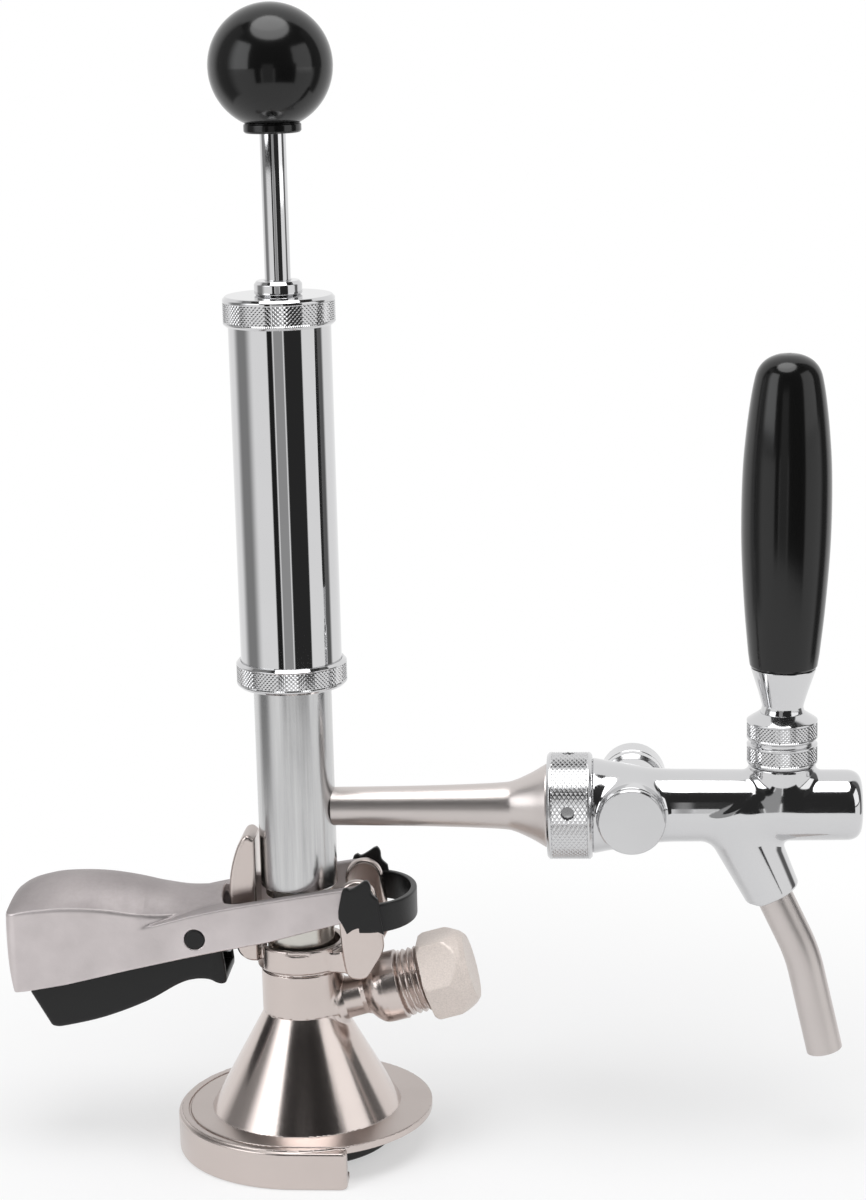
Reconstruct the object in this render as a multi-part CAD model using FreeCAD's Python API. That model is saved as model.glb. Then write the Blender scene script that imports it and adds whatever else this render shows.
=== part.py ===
"""Keg coupler with a fork handle, carrying a hand party pump and a flow control tap.

Millimetres, at real size. Z is the pump's axis and points up, with the origin on it at
the underside of the coupler's skirt. +X points to the tap, -X to the coupler's handle.
The handle is down and the probe lowered, the pump's knob is half out and the tap is shut.
"""

import FreeCAD
import Part
import math
import os

V = FreeCAD.Vector

# Coupler body: skirt, plate, cone, neck and collar.
skirt_radius = 44.5
skirt_reach = 18.0
skirt_wall = 4.5
skirt_corner = 3.0
skirt_step = 0.6
lip_height = 2.8
lip_width = 5.5
flange_space = 8.0
plate_step = 1.1
plate_thickness = 3.0
cone_radius = 33.0
cone_height = 34.5
cone_wall = 3.2
cone_fillet = 2.0
neck_radius = 14.0
neck_height = 16.7
collar_radius = 15.5
collar_height = 8.5
collar_bore = 13.2
collar_depth = 5.0
chamber_wall = 1.4

# Locking fin on the handle side, and the hinge lugs on the tap side.
fin_inner_x = -14.05
fin_radius = 44.3
fin_catch_radius = 46.7
fin_width = 15.0
fin_height = 40.0
fin_drop = 5.2
fin_slot_width = 19.0
fin_web_width = 9.0
hinge_x = 21.0
hinge_height = 17.9
lug_radius = 6.5
lug_thickness = 3.2
lug_inner_y = 10.8
lug_lean = 8.4
hinge_pin_radius = 3.0

# Gas inlet.
gas_tilt = 15.0
gas_axis_z = 47.75
gas_start = 14.0
stub_radius = 8.2
stub_length = 10.5
bulge_radius = 12.0
bulge_length = 12.0
thread_radius = 11.45
thread_show = 6.5
thread_hidden = 7.0
gas_bore = 3.0
gas_pocket_radius = 8.0
gas_cap_flats = 27.0
gas_cap_length = 19.0
gas_cap_wall = 4.0
gas_cap_chamfer = 2.6
washer_thickness = 2.0

# Handle: fork arms, grip shell, pins.
arm_gap = 0.3
arm_thickness = 3.2
arm_end_radius = 5.4
grip_end_x = -99.4
grip_corner = 4.0
palm_crown = 7.6
shell_wall = 2.8
spine_half_width = 10.0
slot_x = -25.7
slot_corner = 6.0
drive_pin_radius = 3.0
drive_shank_radius = 1.6
drive_pin_drop = 4.4
trigger_pin_radius = 3.4
trigger_shaft_radius = 2.2
trigger_pin_reach = 8.5
trigger_pin_x = hinge_x - fin_catch_radius - trigger_pin_reach
trigger_pin_drop = 12.8
trigger_half_width = 11.5
trigger_tail_room = 7.4
trigger_eye_radius = 3.9
coil_wire = 0.45
coil_radius = 2.95
spring_half_width = 3.2
latch_half_width = 5.0
latch_back = 5.0
latch_low = -8.5
latch_high = 0.4
trigger_nose = 10.0
trigger_wall = 2.4

# Clip over the hinge pins.
clip_wall = 2.2
clip_height = 12.5
clip_reach = 14.0

# Probe, bottom seal and beer riser.
probe_radius = 11.5
probe_bore = 7.5
probe_show = 19.4
probe_thread_radius = 10.4
probe_thread_length = 8.0
foot_radius = 18.2
foot_bottom = 5.2
foot_thickness = 3.8
nozzle_radius = 8.5
nozzle_bottom = 1.4
probe_floor = 1.2
gas_port_radius = 2.0
gas_port_z = 24.0
vent_radius = 0.9
vent_circle = 6.3
neck_chamber_rise = 5.7
seal_radius = 30.0
seal_bottom = 1.9
seal_lip = 3.1
seal_rise = 5.0
riser_radius = 4.5
riser_bore = 3.25
riser_bend = 8.5
riser_reach = 7.0
ring_section = 1.0

# Pump: column, lower ring, barrel, cap, gland.
column_radius = 13.1
column_bore = 10.5
column_length = 70.5
arm_height = 27.4
ring_radius = 18.55
ring_height = 8.7
ring_socket = 3.6
spigot_radius = 12.6
spigot_length = 4.4
barrel_radius = 16.95
barrel_bore = 15.45
barrel_show = 112.3
cap_radius = 18.5
cap_height = 9.8
cap_top_wall = 3.1
gland_radius = 7.9
gland_height = 4.7
gland_thread_radius = 6.0
rod_radius = 4.25
rod_show = 47.6
rod_hidden = 10.0
barrel_seal_thickness = 1.2
gland_thread_length = 3.6
gland_depth = 4.5
gland_floor = 1.5
valve_seat_height = 5.0
umbrella_radius = 7.5
umbrella_stem_radius = 1.5
air_hole_radius = 1.0
air_hole_circle = 4.8

# Piston and knob.
piston_bottom = 226.0
piston_height = 15.5
cup_height = 8.5
cup_web = 2.4
disc_thickness = 3.0
lower_disc_thickness = 2.6
piston_nut_flats = 13.0
piston_nut_height = 5.0
knob_radius = 20.2
knob_foot_radius = 9.4
knob_foot_height = 3.4

# Side arm and union.
side_arm_radius = 6.5
side_arm_mid_radius = 7.9
side_arm_bore = 4.0
flare_start = 72.0
flare_radius = 14.0
union_start = 85.2
union_length = 15.0
union_radius = 18.0
union_wall = 3.4
union_hole_radius = 2.1
union_skin = 2.2
union_thread_gap = 0.1

# Tap body, spout, bosses.
tap_length = 90.0
tap_bell_radius = 16.0
tap_waist_radius = 12.4
tap_end_radius = 11.8
tap_round = 3.2
cross_x = 13.3
front_boss_radius = 11.0
front_boss_reach = 16.6
cover_radius = 11.6
cover_thickness = 2.7
back_boss_radius = 10.4
back_boss_reach = 22.5
flow_knob_radius = 11.5
flow_knob_length = 16.0
spindle_radius = 4.0
eccentric = 2.5
eccentric_pin_radius = 1.2
inlet_bore = 8.0
valve_seat_bore = 5.0
outlet_bore = 6.5
guide_bore = 4.6
shank_radius = 2.8
stem_ring_section = 0.8
lever_room_radius = 6.4
spout_tilt = 25.0
spout_end_tilt = 12.5
socket_top_radius = 10.9
socket_radius = 9.4
socket_length = 34.6
socket_depth = 10.0
socket_x = 46.3
spout_radius = 6.1
spout_wall = 1.0
spout_straight = 16.0
spout_bend_radius = 60.0
spout_end_length = 29.2

# Lever and its bonnet.
lever_x = 63.45
lever_lean = 1.0
boss_radius = 11.1
boss_height = 14.4
bonnet_radius = 11.75
bonnet_height = 15.7
bonnet_cone_height = 2.3
bonnet_top_radius = 7.4
bonnet_groove = 0.8
pivot_height = 22.7
ball_radius = 7.0
lever_neck_radius = 3.8
finger_radius = 1.9
finger_tip_radius = 2.6
finger_tip_height = 0.6
ferrule_bottom = 34.4
ferrule_height = 10.9
ferrule_low_radius = 7.45
ferrule_top_radius = 10.6
grip_length = 107.0
grip_low_radius = 11.3
grip_wide_radius = 14.8
grip_top_radius = 11.4
stem_slot_gap = 0.35
valve_seat_offset = 27.0
stem_ring_offset = 13.0
ball_seat_drop = 2.5
bonnet_thread_radius = 9.15
arm_flange = 3.0

# Clearances.
running = 0.05
free = 0.3
fit = 0.02


def corner(point):
    """A point of an outline in the XZ plane."""
    return V(point[0], 0, point[1])


def outline(*steps):
    """Face in the XZ plane.

    Each step is a corner, or the middle and the end of an arc, or a list of points
    that a smooth curve runs through.
    """
    edges = []
    here = steps[0]
    for step in steps[1:] + (steps[0],):
        if isinstance(step, list):
            curve = Part.BSplineCurve()
            curve.interpolate([corner(point) for point in [here] + step])
            edges.append(curve.toShape())
            end = step[-1]
        elif isinstance(step[0], tuple):
            middle, end = step
            edges.append(Part.Arc(corner(here), corner(middle), corner(end)).toShape())
        else:
            end = step
            edges.append(Part.LineSegment(corner(here), corner(end)).toShape())
        here = end
    return Part.Face(Part.Wire(edges))


def dome(edge, top):
    """Outline step from an edge point up to the axis, as part of a sphere."""
    rise = top - edge[1]
    radius = (edge[0] ** 2 + rise**2) / (2 * rise)
    half = math.asin(edge[0] / radius) / 2
    return (radius * math.sin(half), top - radius * (1 - math.cos(half))), (0, top)


def turned(*steps):
    """Solid of revolution about Z from an outline of (radius, height) steps."""
    return outline(*steps).revolve(V(0, 0, 0), V(0, 0, 1), 360)


def aimed(shape, origin, direction):
    """The shape, made along Z from the origin, set at a point along a direction."""
    placed = shape.copy()
    placed.Placement = FreeCAD.Placement(origin, FreeCAD.Rotation(V(0, 0, 1), direction))
    return placed


def slab(face, low, high):
    """An XZ outline as a solid between two Y values."""
    solid = face.extrude(V(0, high - low, 0))
    solid.translate(V(0, low, 0))
    return solid


def both_sides(face, inner, outer):
    """An XZ outline as two mirrored solids, between inner and outer |Y|."""
    return slab(face, inner, outer), slab(face, -outer, -inner)


def rod(radius, start, end):
    """Cylinder between two points."""
    return Part.makeCylinder(radius, (end - start).Length, start, end - start)


def pipe(outer, inner, low, high):
    """Tube about Z."""
    return rod(outer, V(0, 0, low), V(0, 0, high)).cut(rod(inner, V(0, 0, low), V(0, 0, high)))


def block(x, y, z):
    """Box from its three (low, high) spans."""
    return Part.makeBox(x[1] - x[0], y[1] - y[0], z[1] - z[0], V(x[0], y[0], z[0]))


def torus(ring_radius_mid, section, origin, direction=V(0, 0, 1)):
    """O-ring."""
    return Part.makeTorus(ring_radius_mid, section, origin, direction)


def hexagon(flats, low, high):
    """Hexagonal bar about Z."""
    across = flats / 2 / math.cos(math.pi / 6)
    turns = [math.radians(60 * k) for k in range(7)]
    points = [V(across * math.cos(turn), across * math.sin(turn), low) for turn in turns]
    return Part.Face(Part.makePolygon(points)).extrude(V(0, 0, high - low))


def fused(*shapes):
    """One solid from several, without the seams between their faces."""
    return shapes[0].fuse(list(shapes[1:])).removeSplitter()


def drilled(shape, *holes):
    """The shape without the holes."""
    return shape.cut(list(holes))


# Plate, and the levels along the pump's axis.
plate_radius = skirt_radius - plate_step
plate_top = lip_height + flange_space + plate_thickness
plate_low = plate_top - plate_thickness
neck_low = plate_top + cone_height
collar_low = neck_low + neck_height
collar_top = collar_low + collar_height
hinge_z = collar_top + hinge_height
column_low = collar_top + probe_show
column_top = column_low + column_length
ring_top = column_top + ring_height
barrel_low = ring_top - ring_socket
cap_low = ring_top + barrel_show
cap_top = cap_low + cap_height
gland_top = cap_top + gland_height
cap_web_low = cap_top - cap_top_wall
barrel_top = cap_web_low - barrel_seal_thickness
gland_thread_low = cap_top - gland_thread_length
piston_top = piston_bottom + piston_height
cup_top = piston_top - disc_thickness
nut_top = cup_top - cup_web - lower_disc_thickness
knob_low = gland_top + rod_show
rod_top = knob_low + rod_hidden
knob_z = knob_low + math.sqrt(knob_radius**2 - knob_foot_radius**2) + knob_foot_height
tap_z = column_low + arm_height

# Places along the tap, and across the coupler.
union_end = union_start + union_length
tap_end = union_end + tap_length
flow_x = union_end + cross_x
valve_x = union_end + lever_x
pivot_z = tap_z + pivot_height
arm_inner_y = lug_inner_y + lug_thickness + arm_gap
arm_outer_y = arm_inner_y + arm_thickness
clip_inner_y = arm_outer_y + free
hinge = V(hinge_x, 0, hinge_z)
gas_direction = V(math.cos(math.radians(gas_tilt)), 0, math.sin(math.radians(gas_tilt)))
gas_origin = V(0, 0, gas_axis_z)
bulge_start = gas_start + stub_length
bulge_end = bulge_start + bulge_length
gas_cap_start = bulge_end + thread_show
thread_end = gas_cap_start + thread_hidden
gas_pocket_start = bulge_start + 4.0
probe_hole = probe_radius + running
ring_groove_radius = probe_hole - 2 * fit - 2 * ring_section
probe_ring_levels = (neck_low + 7.3, neck_low + 9.9)
drive_pin_z = hinge_z - drive_pin_drop
trigger_pin_z = hinge_z - trigger_pin_drop
seat_x = valve_x - valve_seat_offset
riser_end_x = column_radius + riser_reach
finger_x = valve_x - (pivot_height - finger_tip_height) * math.sin(math.radians(lever_lean))

# Top and lower edges of the handle's sides: X, height from the hinge.
fork_top = ((-1.5, 1.9), (-21.7, -1.7), (-39.3, -6.7), (-53.3, -9.0), (-64.0, -9.6))
fork_bottom = ((-101.0, -32.2), (-64.0, -24.5), (-49.7, -20.7), (-32.5, -17.6), (-7.9, -13.3))

# Grip sections: X, share of the full half width, side edge above the hinge, share of the crown.
grip_sections = (
    (-101.0, 1.0, -4.9, 0.3),
    (-95.0, 1.0, -3.6, 0.78),
    (-86.0, 1.0, -2.6, 0.96),
    (-75.0, 1.0, -2.2, 1.0),
    (-62.0, 1.0, -3.0, 0.95),
    (-51.0, 0.62, -4.8, 0.74),
    (-39.0, 0.1, -6.2, 0.52),
    (slot_x, 0.0, -3.2, 0.36),
)


def d_shape(radius, reach, low, high):
    """Half disc on the handle side, carried on as a straight-sided block towards +X."""
    disc = rod(radius, V(0, 0, low), V(0, 0, high))
    half = disc.common(block((-radius, 0), (-radius, radius), (low, high)))
    return half.fuse(block((0, reach), (-radius, radius), (low, high)))


def upright_edges(shape, x):
    """The vertical edges of a shape at one X."""
    return [
        edge
        for edge in shape.Edges
        if all(abs(vertex.X - x) < 1e-4 for vertex in edge.Vertexes)
        and edge.BoundBox.ZLength > 0.5
        and edge.BoundBox.YLength < 1e-4
    ]


def cone_radius_at(z):
    """Outer radius of the cone at a height."""
    share = (z - plate_top) / cone_height
    return cone_radius + (neck_radius - cone_radius) * share


def make_skirt():
    """U-shaped skirt, open towards the tap, whose lip hooks under the keg's flange."""
    outer = d_shape(skirt_radius, skirt_reach, 0, plate_top - skirt_step).removeSplitter()
    outer = outer.makeFillet(skirt_corner, upright_edges(outer, skirt_reach))
    room = d_shape(skirt_radius - skirt_wall, skirt_reach + 1, lip_height, plate_top)
    mouth = d_shape(skirt_radius - skirt_wall - lip_width, skirt_reach + 1, -1, lip_height)
    return drilled(outer, room, mouth)


def make_shell():
    """Plate, cone, neck and collar as one turned casting."""
    edge = 0.8
    return turned(
        (0, plate_low),
        (plate_radius - edge, plate_low),
        (plate_radius, plate_low + edge),
        (plate_radius, plate_top - edge),
        (plate_radius - edge, plate_top),
        (cone_radius + cone_fillet, plate_top),
        (
            (cone_radius_at(plate_top + 0.35 * cone_fillet) + 0.2 * cone_fillet,
             plate_top + 0.35 * cone_fillet),
            (cone_radius_at(plate_top + cone_fillet), plate_top + cone_fillet),
        ),
        (neck_radius, neck_low),
        (neck_radius, collar_low),
        (collar_radius - 0.5, collar_low),
        (collar_radius, collar_low + 0.5),
        (collar_radius, collar_top - 0.8),
        (collar_radius - 0.8, collar_top),
        (0, collar_top),
    )


def make_hollow():
    """Space inside the shell, from the plate's bore up to the well round the probe."""
    seat = seal_radius + 1.3
    chamber_radius = neck_radius - chamber_wall
    chamber_top = neck_low + neck_chamber_rise
    well_low = collar_top - collar_depth
    return turned(
        (0, plate_low - 1),
        (seat, plate_low - 1),
        (seat, plate_top),
        (cone_radius_at(plate_top + 1.2) - cone_wall * 1.15, plate_top + 1.2),
        (chamber_radius, neck_low - cone_wall * 0.5),
        (chamber_radius, chamber_top),
        (probe_hole, chamber_top),
        (probe_hole, well_low - 1),
        (collar_bore, well_low),
        (collar_bore, collar_top + fin_height + 1),
        (0, collar_top + fin_height + 1),
    )


def make_fin():
    """Locking fin: flat towards the column, its back an arc about the handle's hinge.

    The foot of the back stands out as the catch that the trigger's pawl holds under.
    """
    low = collar_top - fin_drop
    high = collar_top + fin_height

    def back(radius, z):
        return hinge_x - math.sqrt(radius**2 - (z - hinge_z) ** 2), z

    catch_low = back(fin_catch_radius, low + 4.2)
    catch_high = back(fin_catch_radius - 0.4, low + 10.5)
    arc_low = back(fin_radius, low + 18.0)
    arc_high = back(fin_radius, high - 4.0)
    face = outline(
        (fin_inner_x, low),
        (catch_low[0] + 3.4, low),
        ((catch_low[0] + 1.25, low + 1.2), catch_low),
        catch_high,
        arc_low,
        (back(fin_radius, (low + 18.0 + high) / 2), arc_high),
        ((arc_high[0] + 0.9, high - 1.2), (arc_high[0] + 2.8, high)),
        (fin_inner_x, high - 1.6),
    )
    fin = slab(face, -fin_width / 2, fin_width / 2)
    web_face = outline(
        (fin_inner_x - 1, low + 1),
        (-collar_bore, low + 1),
        (-collar_bore, collar_low - 1),
        (-neck_radius + 0.4, collar_low - 1),
        (-neck_radius - 0.4, low - 1),
        (fin_inner_x - 1, low),
    )
    web = slab(web_face, -fin_web_width / 2, fin_web_width / 2)
    return fin, web


def make_lugs():
    """Two hinge lugs that run down in a tongue on each side of the gas stub."""
    low = collar_low - 2.0
    right = hinge_x + lug_lean
    face = outline(
        (hinge_x - lug_radius, hinge_z),
        ((hinge_x, hinge_z + lug_radius), (hinge_x + lug_radius, hinge_z)),
        (right, hinge_z - 13.4),
        (right, collar_low + 7.5),
        ((hinge_x + 5.2, collar_low + 2.6), (hinge_x + 2.4, low + 0.6)),
        ((hinge_x - 1.1, low - 0.1), (hinge_x - 4.0, low + 1.6)),
        (hinge_x - lug_radius + 0.8, hinge_z - 10.0),
    )
    outer = lug_inner_y + lug_thickness
    hole = rod(hinge_pin_radius, V(hinge_x, -outer - 1, hinge_z), V(hinge_x, outer + 1, hinge_z))
    lugs = [drilled(lug, hole) for lug in both_sides(face, lug_inner_y - 0.6, outer)]
    root_face = outline(
        (10.5, collar_low - 6.0),
        (hinge_x + 4.0, collar_low - 6.0),
        (hinge_x + 6.2, collar_low + 3.2),
        (hinge_x + 5.0, collar_top - 1.0),
        (hinge_x - 4.0, collar_top - 1.0),
        (10.5, collar_top - 2.0),
    )
    root = slab(root_face, -lug_inner_y - 0.2, lug_inner_y + 0.2)
    return lugs + [root]


def make_gas_inlet():
    """Gas stub on the slanted axis: stub, rounded bulge, thread land."""
    profile = turned(
        (0, 6),
        (stub_radius + 1.6, 6),
        (stub_radius + 1.6, gas_start),
        (stub_radius, gas_start + 2.5),
        (stub_radius, bulge_start - 4.0),
        ((stub_radius + 0.7, bulge_start - 1.0), (bulge_radius - 1.2, bulge_start + 1.8)),
        ((bulge_radius - 0.2, bulge_start + 3.6), (bulge_radius, bulge_start + 6.0)),
        (bulge_radius, bulge_end - 1.2),
        (thread_radius - 0.9, bulge_end - 0.4),
        (thread_radius - 0.9, bulge_end + 0.8),
        (thread_radius, bulge_end + 1.6),
        (thread_radius, thread_end),
        (0, thread_end),
    )
    return aimed(profile, gas_origin, gas_direction)


def make_gas_bores():
    """Drilling from the neck's chamber to the valve pocket in the stub's end."""
    return (
        aimed(rod(gas_bore, V(0, 0, 11), V(0, 0, thread_end)), gas_origin, gas_direction),
        aimed(
            rod(gas_pocket_radius, V(0, 0, gas_pocket_start), V(0, 0, thread_end + 1)),
            gas_origin,
            gas_direction,
        ),
    )


def make_coupler_body():
    """The whole forging of the coupler."""
    slot = block(
        (-collar_radius - 1, -collar_bore + 1.2),
        (-fin_slot_width / 2, fin_slot_width / 2),
        (collar_low + 0.6, collar_top + 1),
    )
    shell = drilled(make_shell(), slot)
    body = fused(shell, make_skirt(), make_gas_inlet(), *make_lugs(), *make_fin())
    return drilled(body, make_hollow(), *make_gas_bores())


def make_gas_cap():
    """Closed hexagon cap nut on the gas thread, its end turned to a chamfer."""
    across = gas_cap_flats / 2 / math.cos(math.pi / 6)
    end = gas_cap_start + gas_cap_length
    trimmer = turned(
        (0, gas_cap_start),
        (across - 1.0, gas_cap_start),
        (across, gas_cap_start + 1.2),
        (across, end - gas_cap_chamfer - 4.0),
        ((across - 1.2, end - gas_cap_chamfer), (across - 3.6, end)),
        (0, end),
    )
    cap = hexagon(gas_cap_flats, gas_cap_start, end).common(trimmer)
    hollow = rod(thread_radius, V(0, 0, gas_cap_start - 1), V(0, 0, thread_end + washer_thickness))
    pocket = rod(gas_pocket_radius, V(0, 0, thread_end), V(0, 0, end - gas_cap_wall))
    return aimed(drilled(cap, hollow, pocket), gas_origin, gas_direction)


def make_gas_washer():
    """Rubber washer between the gas stub's end and the cap."""
    washer = pipe(thread_radius - 0.3, gas_pocket_radius, thread_end, thread_end + washer_thickness)
    return aimed(washer, gas_origin, gas_direction)


def make_gas_valve():
    """Rubber check valve in the gas stub: a flange and a duck's bill pointing inwards."""
    tip = gas_pocket_start + 1.5
    root = gas_pocket_start + 8.0
    flange = rod(gas_pocket_radius - fit, V(0, 0, thread_end - 2.5), V(0, 0, thread_end))
    sleeve = rod(5.2, V(0, 0, root), V(0, 0, thread_end - 2))
    bill = Part.makeLoft(
        [
            Part.Wire(Part.makeCircle(5.2, V(0, 0, root))),
            Part.Wire(Part.Ellipse(V(0, 0, tip), 4.6, 0.9).toShape()),
        ],
        True,
    )
    hollow = rod(3.6, V(0, 0, root + 1.5), V(0, 0, thread_end + 1))
    return aimed(drilled(fused(flange, sleeve, bill), hollow), gas_origin, gas_direction)


def make_hinge_pins():
    """One short pin through each lug and arm, held in by the clip."""
    return [
        rod(hinge_pin_radius - fit, V(hinge_x, s * lug_inner_y, hinge_z),
            V(hinge_x, s * clip_inner_y, hinge_z))
        for s in (1, -1)
    ]


def make_clip():
    """Plastic band round the hinge, with a spiked ear snapped over each pin."""
    low = hinge_z - 10.4
    high = low + clip_height
    straight = hinge_x + 3.5
    ear = outline(
        (hinge_x + 7.2, high),
        ((hinge_x + 4.9, hinge_z + 4.6), (hinge_x + 4.3, hinge_z + 8.6)),
        ((hinge_x + 1.2, hinge_z + 5.7), (hinge_x - 2.2, hinge_z + 6.0)),
        ((hinge_x - 4.0, hinge_z + 1.5), (hinge_x - 6.0, hinge_z - 2.4)),
        ((hinge_x - 6.2, hinge_z - 5.6), (hinge_x - 4.6, hinge_z - 7.6)),
        (hinge_x - 2.9, hinge_z - 10.9),
        ((hinge_x + 0.6, hinge_z - 9.5), (hinge_x + 4.0, low)),
        (hinge_x + 8.0, hinge_z - 11.2),
    )
    ears = both_sides(ear, clip_inner_y, clip_inner_y + clip_wall)

    def half_ellipse(long_x, half_y):
        """Half of an elliptic cylinder, on the tap side of the ears."""
        long, short = sorted((long_x, half_y), reverse=True)
        curve = Part.Ellipse(V(0, 0, 0), long, short).toShape()
        curve.rotate(V(0, 0, 0), V(0, 0, 1), 0 if long_x > half_y else 90)
        curve.translate(V(straight, 0, low))
        solid = Part.Face(Part.Wire(curve)).extrude(V(0, 0, clip_height))
        return solid.common(block((straight, straight + 50), (-50, 50), (low, high)))

    outer = half_ellipse(clip_reach + clip_wall, clip_inner_y + clip_wall)
    band = outer.cut(half_ellipse(clip_reach, clip_inner_y))
    return fused(band, *ears)


def side_profile():
    """Side outline of the fork: arm, ledge and the lower edge of the grip."""
    top = [(x, hinge_z + z) for x, z in fork_top]
    bottom = [(x, hinge_z + z) for x, z in fork_bottom[1:]]
    return outline(
        (hinge_x, hinge_z + arm_end_radius),
        *top,
        *bottom,
        (hinge_x - 4.0, hinge_z - arm_end_radius - 1.6),
        (hinge_x + 1.5, hinge_z - arm_end_radius),
    )


def lower_edge(x):
    """Height of the lower edge of the handle's side walls, from the hinge."""
    for (x0, z0), (x1, z1) in zip(fork_bottom, fork_bottom[1:]):
        if x <= x1:
            break
    return z0 + (z1 - z0) * (x - x0) / (x1 - x0)


def grip_loft(wall):
    """Grip of the handle as a loft of crowned sections, drawn in by the wall."""
    wires = []
    for x, share, side, crown in grip_sections:
        half = spine_half_width + (arm_outer_y - spine_half_width) * share - wall
        low = hinge_z + lower_edge(x) - (wall > 0) * 2.0
        side = side + hinge_z - wall
        top = side + palm_crown * crown
        corners = [V(x, -half, low), V(x, half, low), V(x, half, side), V(x, -half, side)]
        wires.append(
            Part.Wire([
                Part.LineSegment(corners[0], corners[1]).toShape(),
                Part.LineSegment(corners[1], corners[2]).toShape(),
                Part.Arc(corners[2], V(x, 0, top), corners[3]).toShape(),
                Part.LineSegment(corners[3], corners[0]).toShape(),
            ])
        )
    return Part.makeLoft(wires, True)


def grip_end(wall):
    """Block that rounds the grip's free end: upright corners, and a slight bow."""
    half = arm_outer_y - wall
    start = grip_end_x + wall
    radius = grip_corner - wall
    plan = block((start, 40), (-half, half), (hinge_z - 60, hinge_z + 40))
    plan = plan.makeFillet(radius, upright_edges(plan, start))
    bow = slab(
        outline(
            (start + 2.8, hinge_z - 33.0),
            ((start, hinge_z - 12.0), (start + 3.4, hinge_z + 6.0)),
            (40, hinge_z + 40),
            (40, hinge_z - 60),
        ),
        -half,
        half,
    )
    return plan.common(bow)


def make_handle():
    """Cast fork handle: two arms, and a hollow grip with a crowned palm."""
    grip = grip_loft(0).common(grip_end(0))
    outer = fused(grip, slab(side_profile(), -arm_outer_y, arm_outer_y))
    inner_grip = grip_loft(shell_wall).common(grip_end(shell_wall))
    ceiling = [(x, hinge_z + z - shell_wall) for x, z in fork_top[:0:-1]]
    inner_fork = slab(
        outline(
            *ceiling,
            (slot_x + slot_corner, ceiling[-1][1]),
            (slot_x + slot_corner, hinge_z - 60),
            (ceiling[0][0], hinge_z - 60),
        ),
        -arm_inner_y,
        arm_inner_y,
    )
    fork_gap = block((slot_x, 60), (-arm_inner_y, arm_inner_y), (hinge_z - 60, hinge_z + 60))
    fork_gap = fork_gap.makeFillet(slot_corner, upright_edges(fork_gap, slot_x))
    eye = outline(
        (hinge_x - arm_end_radius, hinge_z),
        ((hinge_x, hinge_z + arm_end_radius), (hinge_x + arm_end_radius, hinge_z)),
        ((hinge_x, hinge_z - arm_end_radius), (hinge_x - arm_end_radius + 0.01, hinge_z - 0.2)),
    )
    eyes = both_sides(eye, arm_inner_y, arm_outer_y)
    pin_centre = V(trigger_pin_x, 0, trigger_pin_z)
    holes = [
        rod(trigger_pin_radius, pin_centre + V(0, -30, 0), pin_centre + V(0, 30, 0)),
        rod(hinge_pin_radius + running, hinge + V(0, -30, 0), hinge + V(0, 30, 0)),
    ]
    for s in (1, -1):
        inner_end = V(0, s * (arm_inner_y - 1), drive_pin_z)
        holes.append(rod(drive_shank_radius, inner_end, V(0, s * (arm_inner_y + 2), drive_pin_z)))
    return drilled(fused(drilled(outer, inner_grip, inner_fork, fork_gap), *eyes), *holes)


def make_drive_pins():
    """Pins on the arms' inner faces that lift the probe by its groove."""
    pins = []
    for s in (1, -1):
        start = V(0, s * (probe_radius - 1.9), drive_pin_z)
        arm_face = V(0, s * arm_inner_y, drive_pin_z)
        head = rod(drive_pin_radius, start, arm_face)
        shank = rod(drive_shank_radius - fit, start, arm_face + V(0, s * 2.0, 0))
        pins.append(fused(head, shank))
    return pins


def make_trigger_pin():
    """Pivot pin of the trigger: a thin shaft between heads flush with the handle's sides."""
    centre = V(trigger_pin_x, 0, trigger_pin_z)

    def along(y):
        return centre + V(0, y, 0)

    shaft = rod(trigger_shaft_radius, along(-arm_outer_y), along(arm_outer_y))
    heads = [
        rod(trigger_pin_radius - fit, along(s * arm_inner_y), along(s * arm_outer_y))
        for s in (1, -1)
    ]
    return fused(shaft, *heads)


def at_trigger_pin(shape):
    """A piece made about the trigger's pivot, set in the handle."""
    placed = shape.copy()
    placed.translate(V(trigger_pin_x, 0, trigger_pin_z))
    return placed


def make_trigger():
    """Moulded trigger under the grip, hollow above, with a curved finger edge."""
    tail = grip_end_x + trigger_tail_room - trigger_pin_x
    body = slab(
        outline(
            (tail + 6.3, -33.3),
            ((tail + 11.0, -33.7), (tail + 15.0, -32.6)),
            ((-22.8, -27.0), (-9.1, -19.2)),
            ((-2.8, -16.0), (3.5, -16.0)),
            ((6.0, -17.3), (7.6, -18.2)),
            (trigger_nose - 0.6, -17.6),
            (trigger_nose, -12.0),
            (trigger_nose, -2.4),
            (trigger_eye_radius * 0.7, trigger_eye_radius * 0.7),
            ((0, trigger_eye_radius), (-trigger_eye_radius * 0.7, trigger_eye_radius * 0.7)),
            (-11.8, -2.4),
            (tail + 6.0, -12.6),
            (tail, -18.6),
            (tail, -21.2),
        ),
        -trigger_half_width,
        trigger_half_width,
    )
    hollow = slab(
        outline(
            (tail + 10.0, -28.6),
            (tail + 16.0, -28.2),
            (-21.8, -22.6),
            (-8.8, -14.6),
            (-8.8, 10.0),
            (tail + 4.0, 10.0),
            (tail + 4.0, -20.1),
        ),
        -trigger_half_width + trigger_wall,
        trigger_half_width - trigger_wall,
    )
    room = coil_radius + coil_wire + free
    pocket = block((-room, room), (-spring_half_width, spring_half_width), (-room, 10))
    hole = rod(trigger_shaft_radius + running, V(0, -30, 0), V(0, 30, 0))
    latch_slot = block(
        (latch_back, trigger_nose + 1),
        (-latch_half_width, latch_half_width),
        (latch_low, latch_high),
    )
    return at_trigger_pin(drilled(body, hollow, pocket, hole, latch_slot))


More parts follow.
